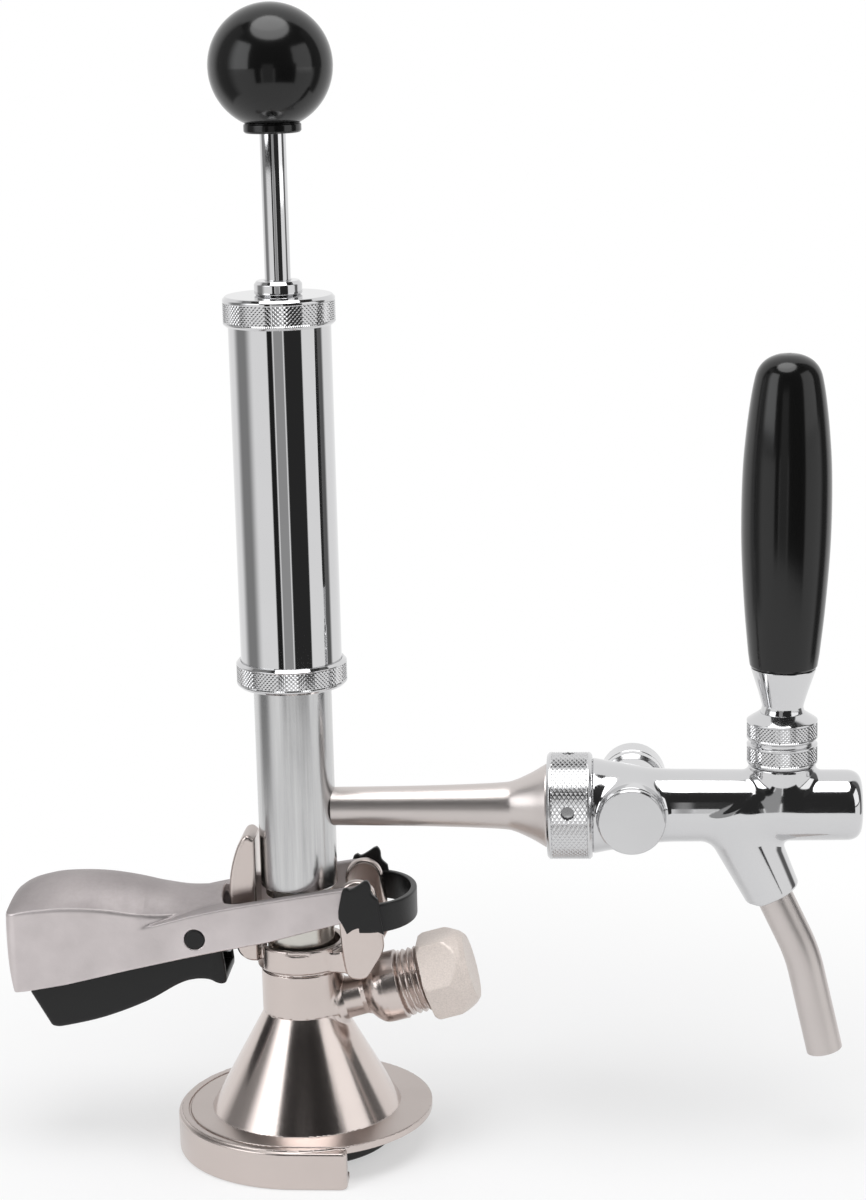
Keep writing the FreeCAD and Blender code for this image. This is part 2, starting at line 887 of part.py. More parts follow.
def make_latch():
    """Steel pawl in the trigger's nose; its tip follows the fin's catch at a small gap."""
    tip_radius = fin_catch_radius + free

    def tip(z):
        drop = hinge_z - trigger_pin_z - z
        return hinge_x - math.sqrt(tip_radius**2 - drop**2) - trigger_pin_x

    tip_low = -6.4
    tip_high = -2.6
    face = outline(
        (latch_back, latch_low),
        (tip(tip_low) - 2.2, latch_low),
        (tip(tip_low), tip_low),
        (tip(tip_high), tip_high),
        (trigger_nose - 0.4, latch_high),
        (latch_back, latch_high),
    )
    return at_trigger_pin(slab(face, -latch_half_width + fit, latch_half_width - fit))


def make_trigger_spring():
    """Torsion spring round the trigger pin."""
    turns = 4
    pitch = 2 * coil_wire * 1.04
    return [
        at_trigger_pin(torus(coil_radius, coil_wire, V(0, (k - 1.5) * pitch, 0), V(0, 1, 0)))
        for k in range(turns)
    ]


def make_probe():
    """Probe: stem with the groove for the drive pins, and the foot that carries the seal."""
    groove_half = drive_pin_radius + running
    thread_top = column_low + probe_thread_length
    floor_top = foot_bottom + foot_thickness + probe_floor
    steps = [
        (riser_radius + fit, nozzle_bottom),
        (nozzle_radius - 1.2, nozzle_bottom),
        (nozzle_radius, nozzle_bottom + 1.2),
        (nozzle_radius, foot_bottom),
        (foot_radius - 0.8, foot_bottom),
        (foot_radius, foot_bottom + 0.8),
        (foot_radius, foot_bottom + foot_thickness),
        (probe_radius, foot_bottom + foot_thickness),
    ]
    grooves = [(z, ring_section + 0.1, ring_groove_radius) for z in probe_ring_levels]
    grooves.append((drive_pin_z, groove_half, probe_radius - 2.3))
    for middle, half, bottom in grooves:
        steps += [
            (probe_radius, middle - half),
            (bottom, middle - half),
            (bottom, middle + half),
            (probe_radius, middle + half),
        ]
    steps += [
        (probe_radius, column_low),
        (probe_thread_radius, column_low),
        (probe_thread_radius, thread_top),
        (probe_bore, thread_top),
        (probe_bore, floor_top),
        (riser_radius + fit, floor_top),
    ]
    ports = []
    for k in range(6):
        turn = math.radians(60 * k + 30)
        spot = V(math.cos(turn), math.sin(turn), 0) * vent_circle
        ports.append(rod(vent_radius, spot, spot + V(0, 0, floor_top + 1)))
    for k in range(4):
        turn = math.radians(90 * k + 45)
        ray = V(math.cos(turn), math.sin(turn), 0)
        level = V(0, 0, gas_port_z)
        start = level + ray * (probe_bore - 1)
        ports.append(rod(gas_port_radius, start, level + ray * (probe_radius + 1)))
    return drilled(turned(*steps), *ports)


def make_probe_rings():
    """O-rings that seal the sliding probe in the neck."""
    mid = ring_groove_radius + fit + ring_section
    return [torus(mid, ring_section, V(0, 0, z)) for z in probe_ring_levels]


def make_bottom_seal():
    """Rubber bell on the probe's foot whose rim presses on the keg's fitting."""
    web_low = foot_bottom + foot_thickness + fit
    inner = probe_radius + fit
    lip_top = seal_bottom + seal_lip
    return turned(
        (inner, web_low),
        (foot_radius + 0.3, web_low),
        (foot_radius + 3.2, seal_bottom + 1.5),
        (foot_radius + 4.4, seal_bottom),
        (seal_radius - 0.8, seal_bottom),
        (seal_radius, seal_bottom + 0.8),
        (seal_radius, lip_top),
        (inner + 5.5, web_low + seal_rise),
        (inner, web_low + seal_rise),
    )


def make_riser():
    """Beer tube up the middle of the probe and column, bent into the side arm."""
    bend_centre_z = tap_z - riser_bend
    foot = V(0, 0, nozzle_bottom + 0.3)
    top = V(0, 0, bend_centre_z)
    exit_start = V(riser_bend, 0, tap_z)
    exit_end = V(riser_end_x - 1, 0, tap_z)

    def swept(radius):
        section = Part.Face(Part.Wire(Part.makeCircle(radius, top, V(0, 0, 1))))
        bend = section.revolve(V(riser_bend, 0, bend_centre_z), V(0, 1, 0), 90)
        return rod(radius, foot, top).fuse([bend, rod(radius, exit_start, exit_end)])

    return swept(riser_radius).cut(swept(riser_bore)).removeSplitter()


def make_riser_rings():
    """O-rings on the riser, in the probe's foot and at the side arm."""
    low = foot_bottom + foot_thickness + probe_floor + ring_section + fit
    return [torus(riser_radius + ring_section + fit, ring_section, V(0, 0, low))]


def make_column():
    """Column between the probe and the pump, with the port for the side arm."""
    top = column_top + spigot_length
    steps = (
        (column_bore, column_low),
        (column_radius - 1.0, column_low),
        (column_radius, column_low + 1.0),
        (column_radius, column_top),
        (spigot_radius, column_top),
        (spigot_radius, top),
        (column_bore, top),
    )
    port = rod(side_arm_radius - 1.0, V(0, 0, tap_z), V(column_radius + 5, 0, tap_z))
    return drilled(turned(*steps), port)


def make_column_ring():
    """Knurled ring that joins the column to the pump's barrel."""
    web_low = column_top + spigot_length + fit
    return turned(
        (spigot_radius + fit, column_top),
        (ring_radius - 0.7, column_top),
        (ring_radius, column_top + 0.7),
        (ring_radius, ring_top - 0.7),
        (ring_radius - 0.7, ring_top),
        (barrel_radius + fit, ring_top),
        (barrel_radius + fit, barrel_low),
        (column_bore, barrel_low),
        (column_bore, web_low),
        (spigot_radius + fit, web_low),
    )


def make_barrel():
    """Barrel of the pump."""
    return pipe(barrel_radius, barrel_bore, barrel_low, barrel_top)


def make_cap():
    """Knurled cap of the pump, with the gland's threaded boss inside."""
    boss_outer = gland_thread_radius + 2.6
    gland_low = cap_web_low - gland_depth
    boss_low = gland_low - gland_floor
    return turned(
        (rod_radius + running, boss_low),
        (boss_outer, boss_low),
        (boss_outer, cap_web_low),
        (barrel_radius + fit, cap_web_low),
        (barrel_radius + fit, cap_low),
        (cap_radius - 0.7, cap_low),
        (cap_radius, cap_low + 0.7),
        (cap_radius, cap_top - 0.7),
        (cap_radius - 0.7, cap_top),
        (gland_thread_radius + fit, cap_top),
        (gland_thread_radius + fit, gland_low),
        (rod_radius + running, gland_low),
    )


def make_gland_nut():
    """Gland nut round the rod."""
    return turned(
        (rod_radius + running, gland_thread_low),
        (gland_thread_radius, gland_thread_low),
        (gland_thread_radius, cap_top),
        (gland_radius - 0.5, cap_top),
        (gland_radius, cap_top + 0.5),
        (gland_radius, gland_top - 0.9),
        (gland_radius - 0.9, gland_top),
        (rod_radius + running + 0.5, gland_top),
        (rod_radius + running, gland_top - 0.5),
    )


def make_gland_seal():
    """Rubber packing under the gland nut."""
    low = cap_web_low - gland_depth
    return pipe(gland_thread_radius, rod_radius + running, low + fit, gland_thread_low)


def make_barrel_rings():
    """Flat rubber ring that seals the barrel in the cap."""
    return pipe(barrel_radius, barrel_bore - 1.5, barrel_top, cap_web_low)


def make_valve_seat():
    """Brass seat at the pump's foot, drilled for the air."""
    low = barrel_low
    top = V(0, 0, low + valve_seat_height + 1)
    holes = [rod(umbrella_stem_radius, V(0, 0, low - 1), top)]
    for k in range(6):
        turn = math.radians(60 * k)
        spot = V(math.cos(turn), math.sin(turn), 0) * air_hole_circle
        holes.append(rod(air_hole_radius, spot + V(0, 0, low - 1), spot + top))
    return drilled(rod(barrel_bore - fit, V(0, 0, low), V(0, 0, low + valve_seat_height)), *holes)


def make_air_valve():
    """Rubber umbrella under the seat: air passes down and not back."""
    seat_low = barrel_low
    seat_top = seat_low + valve_seat_height
    return turned(
        (0, seat_low - 2.2),
        (2.4, seat_low - 2.2),
        ((umbrella_radius - 1.4, seat_low - 1.4), (umbrella_radius, seat_low)),
        (umbrella_stem_radius - fit, seat_low),
        (umbrella_stem_radius - fit, seat_top),
        (2.3, seat_top),
        (1.2, seat_top + 1.4),
        (0, seat_top + 1.4),
    )


def make_side_arm():
    """Side arm: tube brazed to the column, flared to the flange that the union holds."""
    flange_x = union_start + union_wall
    flange_radius = union_radius - union_skin - 2 * union_thread_gap
    neck = flare_radius - 0.6
    tube_bore = riser_radius + fit + 0.1
    profile = turned(
        (side_arm_bore, riser_end_x),
        (tube_bore, riser_end_x),
        (tube_bore, 0),
        (side_arm_radius, 0),
        (side_arm_radius + 0.35, 42),
        (side_arm_mid_radius, flare_start - 2),
        [
            (side_arm_mid_radius + 0.7, flare_start + 1.6),
            (side_arm_mid_radius + 3.2, flare_start + 7.4),
            (flare_radius, union_start - 0.6),
        ],
        (flare_radius, union_start),
        (neck, union_start),
        (neck, flange_x),
        (flange_radius, flange_x),
        (flange_radius, flange_x + arm_flange),
        (side_arm_bore, flange_x + arm_flange),
    )
    arm = aimed(profile, V(0, 0, tap_z), V(1, 0, 0))
    return drilled(arm, rod(column_radius, V(0, 0, tap_z - 30), V(0, 0, tap_z + 30)))


def make_union_collar():
    """Knurled union ring with four holes for a hook spanner."""
    wall_end = union_start + union_wall
    bore = union_radius - union_skin
    profile = turned(
        (flare_radius - 0.5, union_start),
        (union_radius - 0.8, union_start),
        (union_radius, union_start + 0.8),
        (union_radius, union_end - 0.8),
        (union_radius - 0.8, union_end),
        (bore, union_end),
        (bore, wall_end),
        (flare_radius - 0.5, wall_end),
    )
    ring = aimed(profile, V(0, 0, tap_z), V(1, 0, 0))
    holes = []
    middle = union_start + union_length * 0.48
    for k in range(4):
        turn = math.radians(90 * k + 7.5)
        ray = V(0, -math.cos(turn), math.sin(turn))
        start = V(middle, 0, tap_z) + ray * (bore - 1)
        holes.append(rod(union_hole_radius, start, start + ray * 8))
    return drilled(ring, *holes)


def make_union_gasket():
    """Gasket between the arm's flange and the tap's inlet."""
    start = union_start + union_wall + arm_flange
    outer = union_radius - union_skin - 4 * union_thread_gap
    washer = pipe(outer, side_arm_bore + 1.5, start, start + washer_thickness)
    return aimed(washer, V(0, 0, tap_z), V(1, 0, 0))


def spout_direction(tilt):
    """Unit vector that leans from straight down towards +X."""
    turn = math.radians(tilt)
    return V(math.sin(turn), 0, -math.cos(turn))


socket_origin = V(union_end + socket_x - 0.2, 0, tap_z)
socket_mouth = socket_origin + spout_direction(spout_tilt) * socket_length


def make_tap_body():
    """Tap body: bell, barrel, cross bosses, spout socket and lever boss, bored for the valve."""
    inlet = union_start + union_wall + arm_flange + washer_thickness
    thread = union_radius - union_skin - union_thread_gap
    barrel = turned(
        (0, inlet),
        (thread, inlet),
        (thread, union_end + 0.2),
        (tap_bell_radius - 0.4, union_end + 0.2),
        (tap_bell_radius, union_end + 0.8),
        (
            (tap_waist_radius + 2.1, union_end + 9.5),
            (tap_waist_radius, union_end + 23.0),
        ),
        (tap_end_radius, tap_end - tap_round),
        (
            (tap_end_radius - tap_round * 0.3, tap_end - tap_round * 0.3),
            (tap_end_radius - tap_round, tap_end),
        ),
        (0, tap_end),
    )
    body = aimed(barrel, V(0, 0, tap_z), V(1, 0, 0))
    front = rod(front_boss_radius, V(flow_x, 0, tap_z), V(flow_x, -front_boss_reach, tap_z))
    back = rod(back_boss_radius, V(flow_x, 0, tap_z), V(flow_x, back_boss_reach, tap_z))
    direction = spout_direction(spout_tilt)
    socket = aimed(
        turned(
            (0, 6),
            (socket_top_radius + 0.6, 6),
            (socket_radius, socket_length - 1.2),
            (socket_radius - 1.0, socket_length),
            (0, socket_length),
        ),
        socket_origin,
        direction,
    )
    boss_top = tap_z + boss_height
    seat_top = pivot_z - ball_seat_drop
    boss = rod(boss_radius, V(valve_x, 0, tap_z), V(valve_x, 0, boss_top))
    spigot = rod(bonnet_thread_radius, V(valve_x, 0, boss_top - 1), V(valve_x, 0, seat_top))
    ball_room = Part.makeSphere(ball_radius + 0.1, V(valve_x, 0, pivot_z))
    finger_room = slab(
        outline(
            (valve_x - 9.0, tap_z),
            (valve_x + 3.2, tap_z),
            (valve_x + 3.2, seat_top),
            (valve_x - 3.9, seat_top),
        ),
        -finger_tip_radius - free,
        finger_tip_radius + free,
    )
    ring_x = valve_x - stem_ring_offset
    ring_half = stem_ring_section + 0.25
    port_top = V(valve_x - 18.0, 0, tap_z - outlet_bore + 1.5)

    def bore(radius, start, end):
        return rod(radius, V(start, 0, tap_z), V(end, 0, tap_z))

    solid = fused(body, front, back, socket, boss, spigot)
    return drilled(
        solid,
        ball_room,
        finger_room,
        bore(inlet_bore, inlet - 1, seat_x - 3),
        bore(valve_seat_bore, seat_x - 4, seat_x + 1),
        bore(outlet_bore, seat_x, valve_x - 14.6),
        bore(guide_bore, valve_x - 15, tap_end - 4),
        bore(lever_room_radius, valve_x - 10.4, valve_x + 6.6),
        bore(guide_bore + 2 * stem_ring_section, ring_x - ring_half, ring_x + ring_half),
        rod(3.4, port_top, port_top + direction * 22),
        rod(spout_radius + fit, socket_mouth, socket_mouth - direction * socket_depth),
        rod(spindle_radius + running, V(flow_x, 5, tap_z), V(flow_x, 40, tap_z)),
    )


def make_spout():
    """Spout tube: straight from the socket, a gentle bend, then a steeper run."""
    direction = spout_direction(spout_tilt)
    final = spout_direction(spout_end_tilt)
    start = socket_mouth - direction * (socket_depth - 0.5)
    bend_start = socket_mouth + direction * spout_straight
    side = V(-direction.z, 0, direction.x)
    centre = bend_start - side * spout_bend_radius
    turn = spout_tilt - spout_end_tilt
    bend_end_side = V(-final.z, 0, final.x)
    bend_end = centre + bend_end_side * spout_bend_radius
    end = bend_end + final * spout_end_length

    def swept(radius):
        section = Part.Face(Part.Wire(Part.makeCircle(radius, bend_start, direction)))
        bend = section.revolve(centre, V(0, 1, 0), turn)
        return rod(radius, start, bend_start).fuse([bend, rod(radius, bend_end, end)])

    return swept(spout_radius).cut(swept(spout_radius - spout_wall)).removeSplitter()


def make_cover():
    """Round cover screwed on the front cross boss."""
    disc = turned(
        (0, 0),
        (cover_radius - 0.6, 0),
        (cover_radius, 0.6),
        (cover_radius, cover_thickness - 0.9),
        ((cover_radius - 0.25, cover_thickness - 0.25), (cover_radius - 0.9, cover_thickness)),
        (cover_radius - 1.5, cover_thickness),
        (cover_radius - 1.7, cover_thickness - 0.3),
        (0, cover_thickness - 0.3),
    )
    return aimed(disc, V(flow_x, -front_boss_reach, tap_z), V(0, -1, 0))


def make_bonnet():
    """Bonnet nut: two knurled bands, a smooth groove, and the cone round the lever's neck."""
    low = boss_height
    high = low + bonnet_height
    top = high + bonnet_cone_height
    thread = bonnet_thread_radius + fit
    throat = 5.95
    solid = turned(
        (thread, low + 0.2),
        (bonnet_radius - 0.8, low + 0.2),
        (bonnet_radius, low + 1.0),
        (bonnet_radius, low + 7.2),
        (bonnet_radius - bonnet_groove, low + 7.7),
        (bonnet_radius - bonnet_groove, low + 8.7),
        (bonnet_radius, low + 9.2),
        (bonnet_radius, high - 0.3),
        (bonnet_radius - 0.3, high),
        (bonnet_top_radius + 0.3, top),
        (bonnet_top_radius - 0.2, top),
        (throat, pivot_height + 3.8),
        (throat, pivot_height),
        (thread, pivot_height),
    )
    solid = drilled(solid, Part.makeSphere(ball_radius + 0.1, V(0, 0, pivot_height)))
    solid.translate(V(valve_x, 0, tap_z))
    return solid


def leaned(shape):
    """A lever piece, made upright from the valve's axis, set on the tap at its lean."""
    placed = shape.copy()
    placed.translate(V(valve_x, 0, tap_z))
    placed.rotate(V(valve_x, 0, pivot_z), V(0, 1, 0), lever_lean)
    return placed


def make_lever_stem():
    """Lever: finger with a round tip, ball and threaded neck in one turned piece."""
    ball = Part.makeSphere(ball_radius, V(0, 0, pivot_height))
    finger = rod(finger_radius, V(0, 0, finger_tip_height), V(0, 0, pivot_height))
    tip = Part.makeSphere(finger_tip_radius, V(0, 0, finger_tip_height))
    neck = rod(lever_neck_radius, V(0, 0, pivot_height), V(0, 0, ferrule_bottom + 18))
    return leaned(fused(ball, finger, tip, neck))


def make_ferrule():
    """Chrome cone that the lever's neck carries under the grip."""
    top = ferrule_bottom + ferrule_height
    return leaned(turned(
        (lever_neck_radius + fit, ferrule_bottom),
        (ferrule_low_radius - 1.0, ferrule_bottom),
        ((ferrule_low_radius - 0.3, ferrule_bottom + 0.3), (ferrule_low_radius, ferrule_bottom + 1.0)),
        (ferrule_top_radius, top),
        (lever_neck_radius + fit, top),
    ))


def make_grip():
    """Tap handle: a turned grip, widest above its middle, with a domed top."""
    low = ferrule_bottom + ferrule_height
    top = low + grip_length
    shoulder = top - 2.6
    bore_top = ferrule_bottom + 18.2
    neck = lever_neck_radius + fit
    dome_edge = (grip_top_radius - 3.8, shoulder)
    return leaned(turned(
        (neck, low),
        (grip_low_radius - 1.6, low),
        ((grip_low_radius - 0.5, low + 0.5), (grip_low_radius, low + 2.0)),
        [
            (grip_low_radius + 2.0, low + 0.21 * grip_length),
            (grip_wide_radius, low + 0.52 * grip_length),
            (grip_wide_radius - 1.2, low + 0.76 * grip_length),
            (grip_top_radius, low + 0.91 * grip_length),
        ],
        ((grip_top_radius - 1.4, shoulder - 2.4), dome_edge),
        dome(dome_edge, top),
        (0, bore_top),
        (neck, bore_top),
    ))


def make_valve_stem():
    """Valve stem: head at the seat, thin shank, guide with the lever's slot, tail."""
    guide = guide_bore - running
    guide_end = tap_end - 13.0
    profile = turned(
        (0, seat_x - 8.0),
        (2.0, seat_x - 8.0),
        (2.0, seat_x - 6.6),
        (4.4, seat_x - 6.6),
        (4.4, seat_x - 4.6),
        (shank_radius, seat_x - 4.6),
        (shank_radius, valve_x - 15.0),
        (guide, valve_x - 13.8),
        (guide, guide_end),
        (0, guide_end),
    )
    stem = aimed(profile, V(0, 0, tap_z), V(1, 0, 0))
    half = finger_tip_radius + stem_slot_gap
    slot = slab(
        outline(
            (finger_x - half, tap_z - 2.6),
            (finger_x + half, tap_z - 2.6),
            (finger_x + half, tap_z + 1.5),
            (finger_x + half + 1.4, tap_z + 6.0),
            (finger_x - half, tap_z + 6.0),
        ),
        -finger_tip_radius - free,
        finger_tip_radius + free,
    )
    return drilled(stem, slot)


def make_valve_seal():
    """Rubber cone on the valve stem that closes on the seat."""
    profile = turned(
        (shank_radius + fit, seat_x - 4.55),
        (6.6, seat_x - 4.55),
        (6.6, seat_x - 3.0 - free),
        (valve_seat_bore - 0.1, seat_x - 3.0 - free),
        (valve_seat_bore - 0.8, seat_x - 2.2),
        (shank_radius + fit, seat_x - 2.2),
    )
    return aimed(profile, V(0, 0, tap_z), V(1, 0, 0))


def make_stem_ring():
    """O-ring in the tap body round the valve stem's guide."""
    middle = V(valve_x - stem_ring_offset, 0, tap_z)
    return torus(guide_bore + stem_ring_section, stem_ring_section - fit / 2, middle, V(1, 0, 0))


def make_flow_knob():
    """Flow control knob on the back of the tap."""
    start = back_boss_reach + free
    profile = turned(
        (spindle_radius + fit, start),
        (flow_knob_radius - 1.6, start),
        (flow_knob_radius, start + 1.2),
        (flow_knob_radius, start + flow_knob_length - 1.0),
        (flow_knob_radius - 1.0, start + flow_knob_length),
        (0, start + flow_knob_length),
        (0, start + flow_knob_length - 4.0),
        (spindle_radius + fit, start + flow_knob_length - 4.0),
    )
    return aimed(profile, V(flow_x, 0, tap_z), V(0, 1, 0))


def make_spindle():
    """Spindle from the knob, with the eccentric pin that moves the compensator."""
    end = back_boss_reach + free + flow_knob_length - 4.0 - fit
    shaft = rod(spindle_radius, V(flow_x, inlet_bore + 0.4, tap_z), V(flow_x, end, tap_z))
    pin_z = tap_z + eccentric
    pin = rod(eccentric_pin_radius, V(flow_x, 5.2, pin_z), V(flow_x, inlet_bore + 1, pin_z))
    return fused(shaft, pin)


def make_compensator():
    """Flow compensator: tapered plug in the inlet bore, moved by the spindle's pin."""
    low = flow_x - 8.5
    high = flow_x + 4.2
    groove_half = eccentric_pin_radius + 0.25
    plug_radius = inlet_bore - 1.0
    groove_radius = inlet_bore - 3.4
    plug = turned(
        (0, low),
        (3.0, low),
        (plug_radius - 0.6, low + 6.2),
        (plug_radius, flow_x - groove_half - 0.9),
        (plug_radius, flow_x - groove_half),
        (groove_radius, flow_x - groove_half),
        (groove_radius, flow_x + groove_half),
        (plug_radius, flow_x + groove_half),
        (plug_radius, high),
        (0, high),
    )
    fins = []
    for angle in (180, 300, 60):
        fin = block((0, inlet_bore - running), (-0.8, 0.8), (flow_x + groove_half + 0.5, high))
        fin.rotate(V(0, 0, 0), V(0, 0, 1), angle)
        fins.append(fin)
    return aimed(fused(plug, *fins), V(0, 0, tap_z), V(1, 0, 0))


def make_rod():
    """Pump rod from the piston nut to the knob."""
    return rod(rod_radius, V(0, 0, piston_bottom), V(0, 0, rod_top))


def make_piston_discs():
    """Two washers that clamp the cup."""
    upper = pipe(barrel_bore - 2.4, rod_radius + fit, cup_top, piston_top)
    lower = pipe(barrel_bore - 4.6, rod_radius + fit, nut_top, cup_top - cup_web)
    return [upper, lower]


def make_piston_cup():
    """Rubber cup, lip down, that seals the piston on the down-stroke."""
    top = cup_top
    low = top - cup_height
    web_low = top - cup_web + fit
    lip = barrel_bore - running
    return turned(
        (rod_radius + fit, web_low),
        (barrel_bore - 2.6, web_low),
        (barrel_bore - 1.6, low),
        (lip, low + 0.6),
        (lip, top - 0.8),
        (lip - 0.8, top),
        (rod_radius + fit, top),
    )


def make_piston_nut():
    """Hexagon nut under the piston."""
    low = nut_top - piston_nut_height
    nut = hexagon(piston_nut_flats, low, nut_top)
    return drilled(nut, rod(rod_radius + fit, V(0, 0, low - 1), V(0, 0, nut_top + 1)))


def make_knob():
    """Ball knob with its flat foot, bored for the rod."""
    foot = knob_foot_radius
    ball_side = knob_z - math.sqrt(knob_radius**2 - (foot - 0.6) ** 2)
    bore = rod_radius + fit
    return turned(
        (bore, knob_low),
        (foot - 0.6, knob_low),
        (foot, knob_low + 0.6),
        (foot, knob_low + knob_foot_height - 0.6),
        (foot - 0.6, ball_side),
        ((knob_radius, knob_z), (0, knob_z + knob_radius)),
        (0, rod_top + fit),
        (bore, rod_top + fit),
    )


nodes = {
    "coupler_body": make_coupler_body(),
    "gas_check_valve": make_gas_valve(),
    "gas_cap_washer": make_gas_washer(),
    "gas_cap_nut": make_gas_cap(),
    "hinge_pins": make_hinge_pins(),
    "hinge_clip": make_clip(),
    "coupler_handle": make_handle(),
    "drive_pins": make_drive_pins(),
    "trigger_pin": make_trigger_pin(),
    "trigger_lever": make_trigger(),
    "latch_pawl": make_latch(),
    "trigger_spring": make_trigger_spring(),
    "probe": make_probe(),
    "probe_o_rings": make_probe_rings(),
    "bottom_seal": make_bottom_seal(),
    "beer_riser": make_riser(),
    "riser_o_ring": make_riser_rings(),
    "pump_column": make_column(),
    "column_ring": make_column_ring(),
    "valve_seat": make_valve_seat(),
    "air_check_valve": make_air_valve(),
    "pump_barrel": make_barrel(),
    "barrel_seal": make_barrel_rings(),
    "pump_cap": make_cap(),
    "gland_seal": make_gland_seal(),
    "gland_nut": make_gland_nut(),
    "pump_rod": make_rod(),
    "piston_nut": make_piston_nut(),
    "piston_cup": make_piston_cup(),
    "piston_discs": make_piston_discs(),
    "ball_knob": make_knob(),
    "side_arm": make_side_arm(),
    "union_collar": make_union_collar(),
    "union_gasket": make_union_gasket(),
    "tap_body": make_tap_body(),
    "compensator_cover": make_cover(),
    "flow_knob": make_flow_knob(),
    "flow_spindle": make_spindle(),
    "compensator_plug": make_compensator(),
    "spout_tube": make_spout(),
    "bonnet_nut": make_bonnet(),
    "lever_stem": make_lever_stem(),
    "lever_ferrule": make_ferrule(),
    "tap_handle": make_grip(),
    "valve_stem": make_valve_stem(),
    "valve_seal": make_valve_seal(),
    "stem_o_ring": make_stem_ring(),
}

os.makedirs("parts", exist_ok=True)
for name, made in nodes.items():
    shape = Part.makeCompound(made) if isinstance(made, list) else made
    shape.exportStep("parts/" + name + ".step")
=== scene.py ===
"""Keg party pump: coupler with a fork handle, hand pump, side arm and flow control tap.

Lengths are written in millimetres and turned to metres where a mesh is made. The studio
alone is written in metres.
"""

import bpy
import math
import numpy as np
from mathutils import Matrix, Vector


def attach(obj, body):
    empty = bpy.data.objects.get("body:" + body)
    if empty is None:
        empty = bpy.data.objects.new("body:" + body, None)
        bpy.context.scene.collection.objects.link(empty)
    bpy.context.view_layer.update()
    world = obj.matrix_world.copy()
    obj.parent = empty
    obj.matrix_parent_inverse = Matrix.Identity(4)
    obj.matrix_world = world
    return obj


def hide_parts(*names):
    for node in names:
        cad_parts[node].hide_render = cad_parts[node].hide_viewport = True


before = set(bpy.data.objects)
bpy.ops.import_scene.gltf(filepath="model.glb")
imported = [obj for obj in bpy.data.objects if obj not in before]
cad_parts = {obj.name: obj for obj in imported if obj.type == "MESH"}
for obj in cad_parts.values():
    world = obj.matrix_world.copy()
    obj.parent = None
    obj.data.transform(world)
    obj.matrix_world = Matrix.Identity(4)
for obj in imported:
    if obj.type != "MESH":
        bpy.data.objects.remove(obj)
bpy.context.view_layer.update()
mm = 0.001

# Camera
# A long lens a metre away, a little above the coupler's middle and looking down on it,
# turned a little towards the tap and rolled a degree and a half.
aim = Vector((48.119, 0.0, 191.583)) * mm
turn, pitch, roll = (math.radians(angle) for angle in (4.5, 12.54, 1.435))
distance = 972.07 * mm
level = Vector((math.cos(turn), math.sin(turn), 0.0))
look = Vector((-math.sin(turn) * math.cos(pitch), math.cos(turn) * math.cos(pitch), -math.sin(pitch)))
upright = level.cross(look)
across = math.cos(roll) * level - math.sin(roll) * upright
upright = math.sin(roll) * level + math.cos(roll) * upright
camera = bpy.data.objects.new("camera", bpy.data.cameras.new("camera"))
camera.data.lens = 87.618
camera.data.clip_start = 0.05
camera.matrix_world = Matrix((across, upright, -look)).transposed().to_4x4()
camera.location = aim - look * distance
bpy.context.scene.collection.objects.link(camera)
bpy.context.scene.camera = camera
bpy.context.scene.view_settings.view_transform = "Standard"


# Studio
# White table, an overhead lamp and a softbox on each side, in a room that is dark above the
# camera. The ceiling and the hanging cloths show only in reflections. Away from the object
# the table is plain white.
class Shade:
    """A socket of a finish. Arithmetic on it adds Math nodes, and node() adds any other."""

    def __init__(self, tree, socket=None):
        self.tree, self.socket = tree, socket

    def node(self, kind, settings=None, inputs=None, output=0):
        made = self.tree.nodes.new("ShaderNode" + kind)
        for name, value in (settings or {}).items():
            setattr(made, name, value)
        for name, value in (inputs or {}).items():
            if isinstance(value, Shade):
                self.tree.links.new(value.socket, made.inputs[name])
            else:
                made.inputs[name].default_value = value
        return Shade(self.tree, made.outputs[output] if made.outputs else None)

    def math(self, operation, first, second=0.0):
        return self.node("Math", {"operation": operation}, {0: first, 1: second})

    def mix(self, share, first, second):
        """Two colours mixed; 6, 7 and 2 are the node's own numbers for its colour sockets."""
        return self.node("Mix", {"data_type": "RGBA"}, {0: share, 6: first, 7: second}, 2)

    def along(self, axis):
        """One axis of a place or a direction."""
        return self.node("SeparateXYZ", inputs={0: self}, output=axis)

    def step(self, low, high, before=0.0, after=1.0):
        """A smooth step of this value, from ``before`` at low to ``after`` at high."""
        return self.node("MapRange", {"interpolation_type": "SMOOTHSTEP"},
                         {"Value": self, "From Min": low, "From Max": high,
                          "To Min": before, "To Max": after})

    def __add__(self, other):
        return self.math("ADD", self, other)

    __radd__ = __add__

    def __sub__(self, other):
        return self.math("SUBTRACT", self, other)

    def __rsub__(self, other):
        return self.math("SUBTRACT", other, self)

    def __mul__(self, other):
        return self.math("MULTIPLY", self, other)

    __rmul__ = __mul__

    def __gt__(self, other):
        return self.math("GREATER_THAN", self, other)


def finish(name, surface):
    """A material whose surface is the shader that surface(root) gives."""
    material = bpy.data.materials.new(name)
    material.use_nodes = True
    material.node_tree.nodes.clear()
    root = Shade(material.node_tree)
    root.node("OutputMaterial", inputs={"Surface": surface(root)})
    return material


def flat_piece(name, points, faces, material):
    """A studio sheet from its corners in metres."""
    mesh = bpy.data.meshes.new(name)
    mesh.from_pydata(points, [], faces)
    mesh.materials.append(material)
    sheet = bpy.data.objects.new(name, mesh)
    bpy.context.scene.collection.objects.link(sheet)
    return sheet


def seen_rays(root):
    """1 for a ray of the camera, or one in a reflection or through glass."""
    camera_ray, glossy, through_glass = (root.node("LightPath", output="Is " + kind + " Ray")
                                         for kind in ("Camera", "Glossy", "Transmission"))
    return root.math("MINIMUM", camera_ray + glossy + through_glass, 1.0)


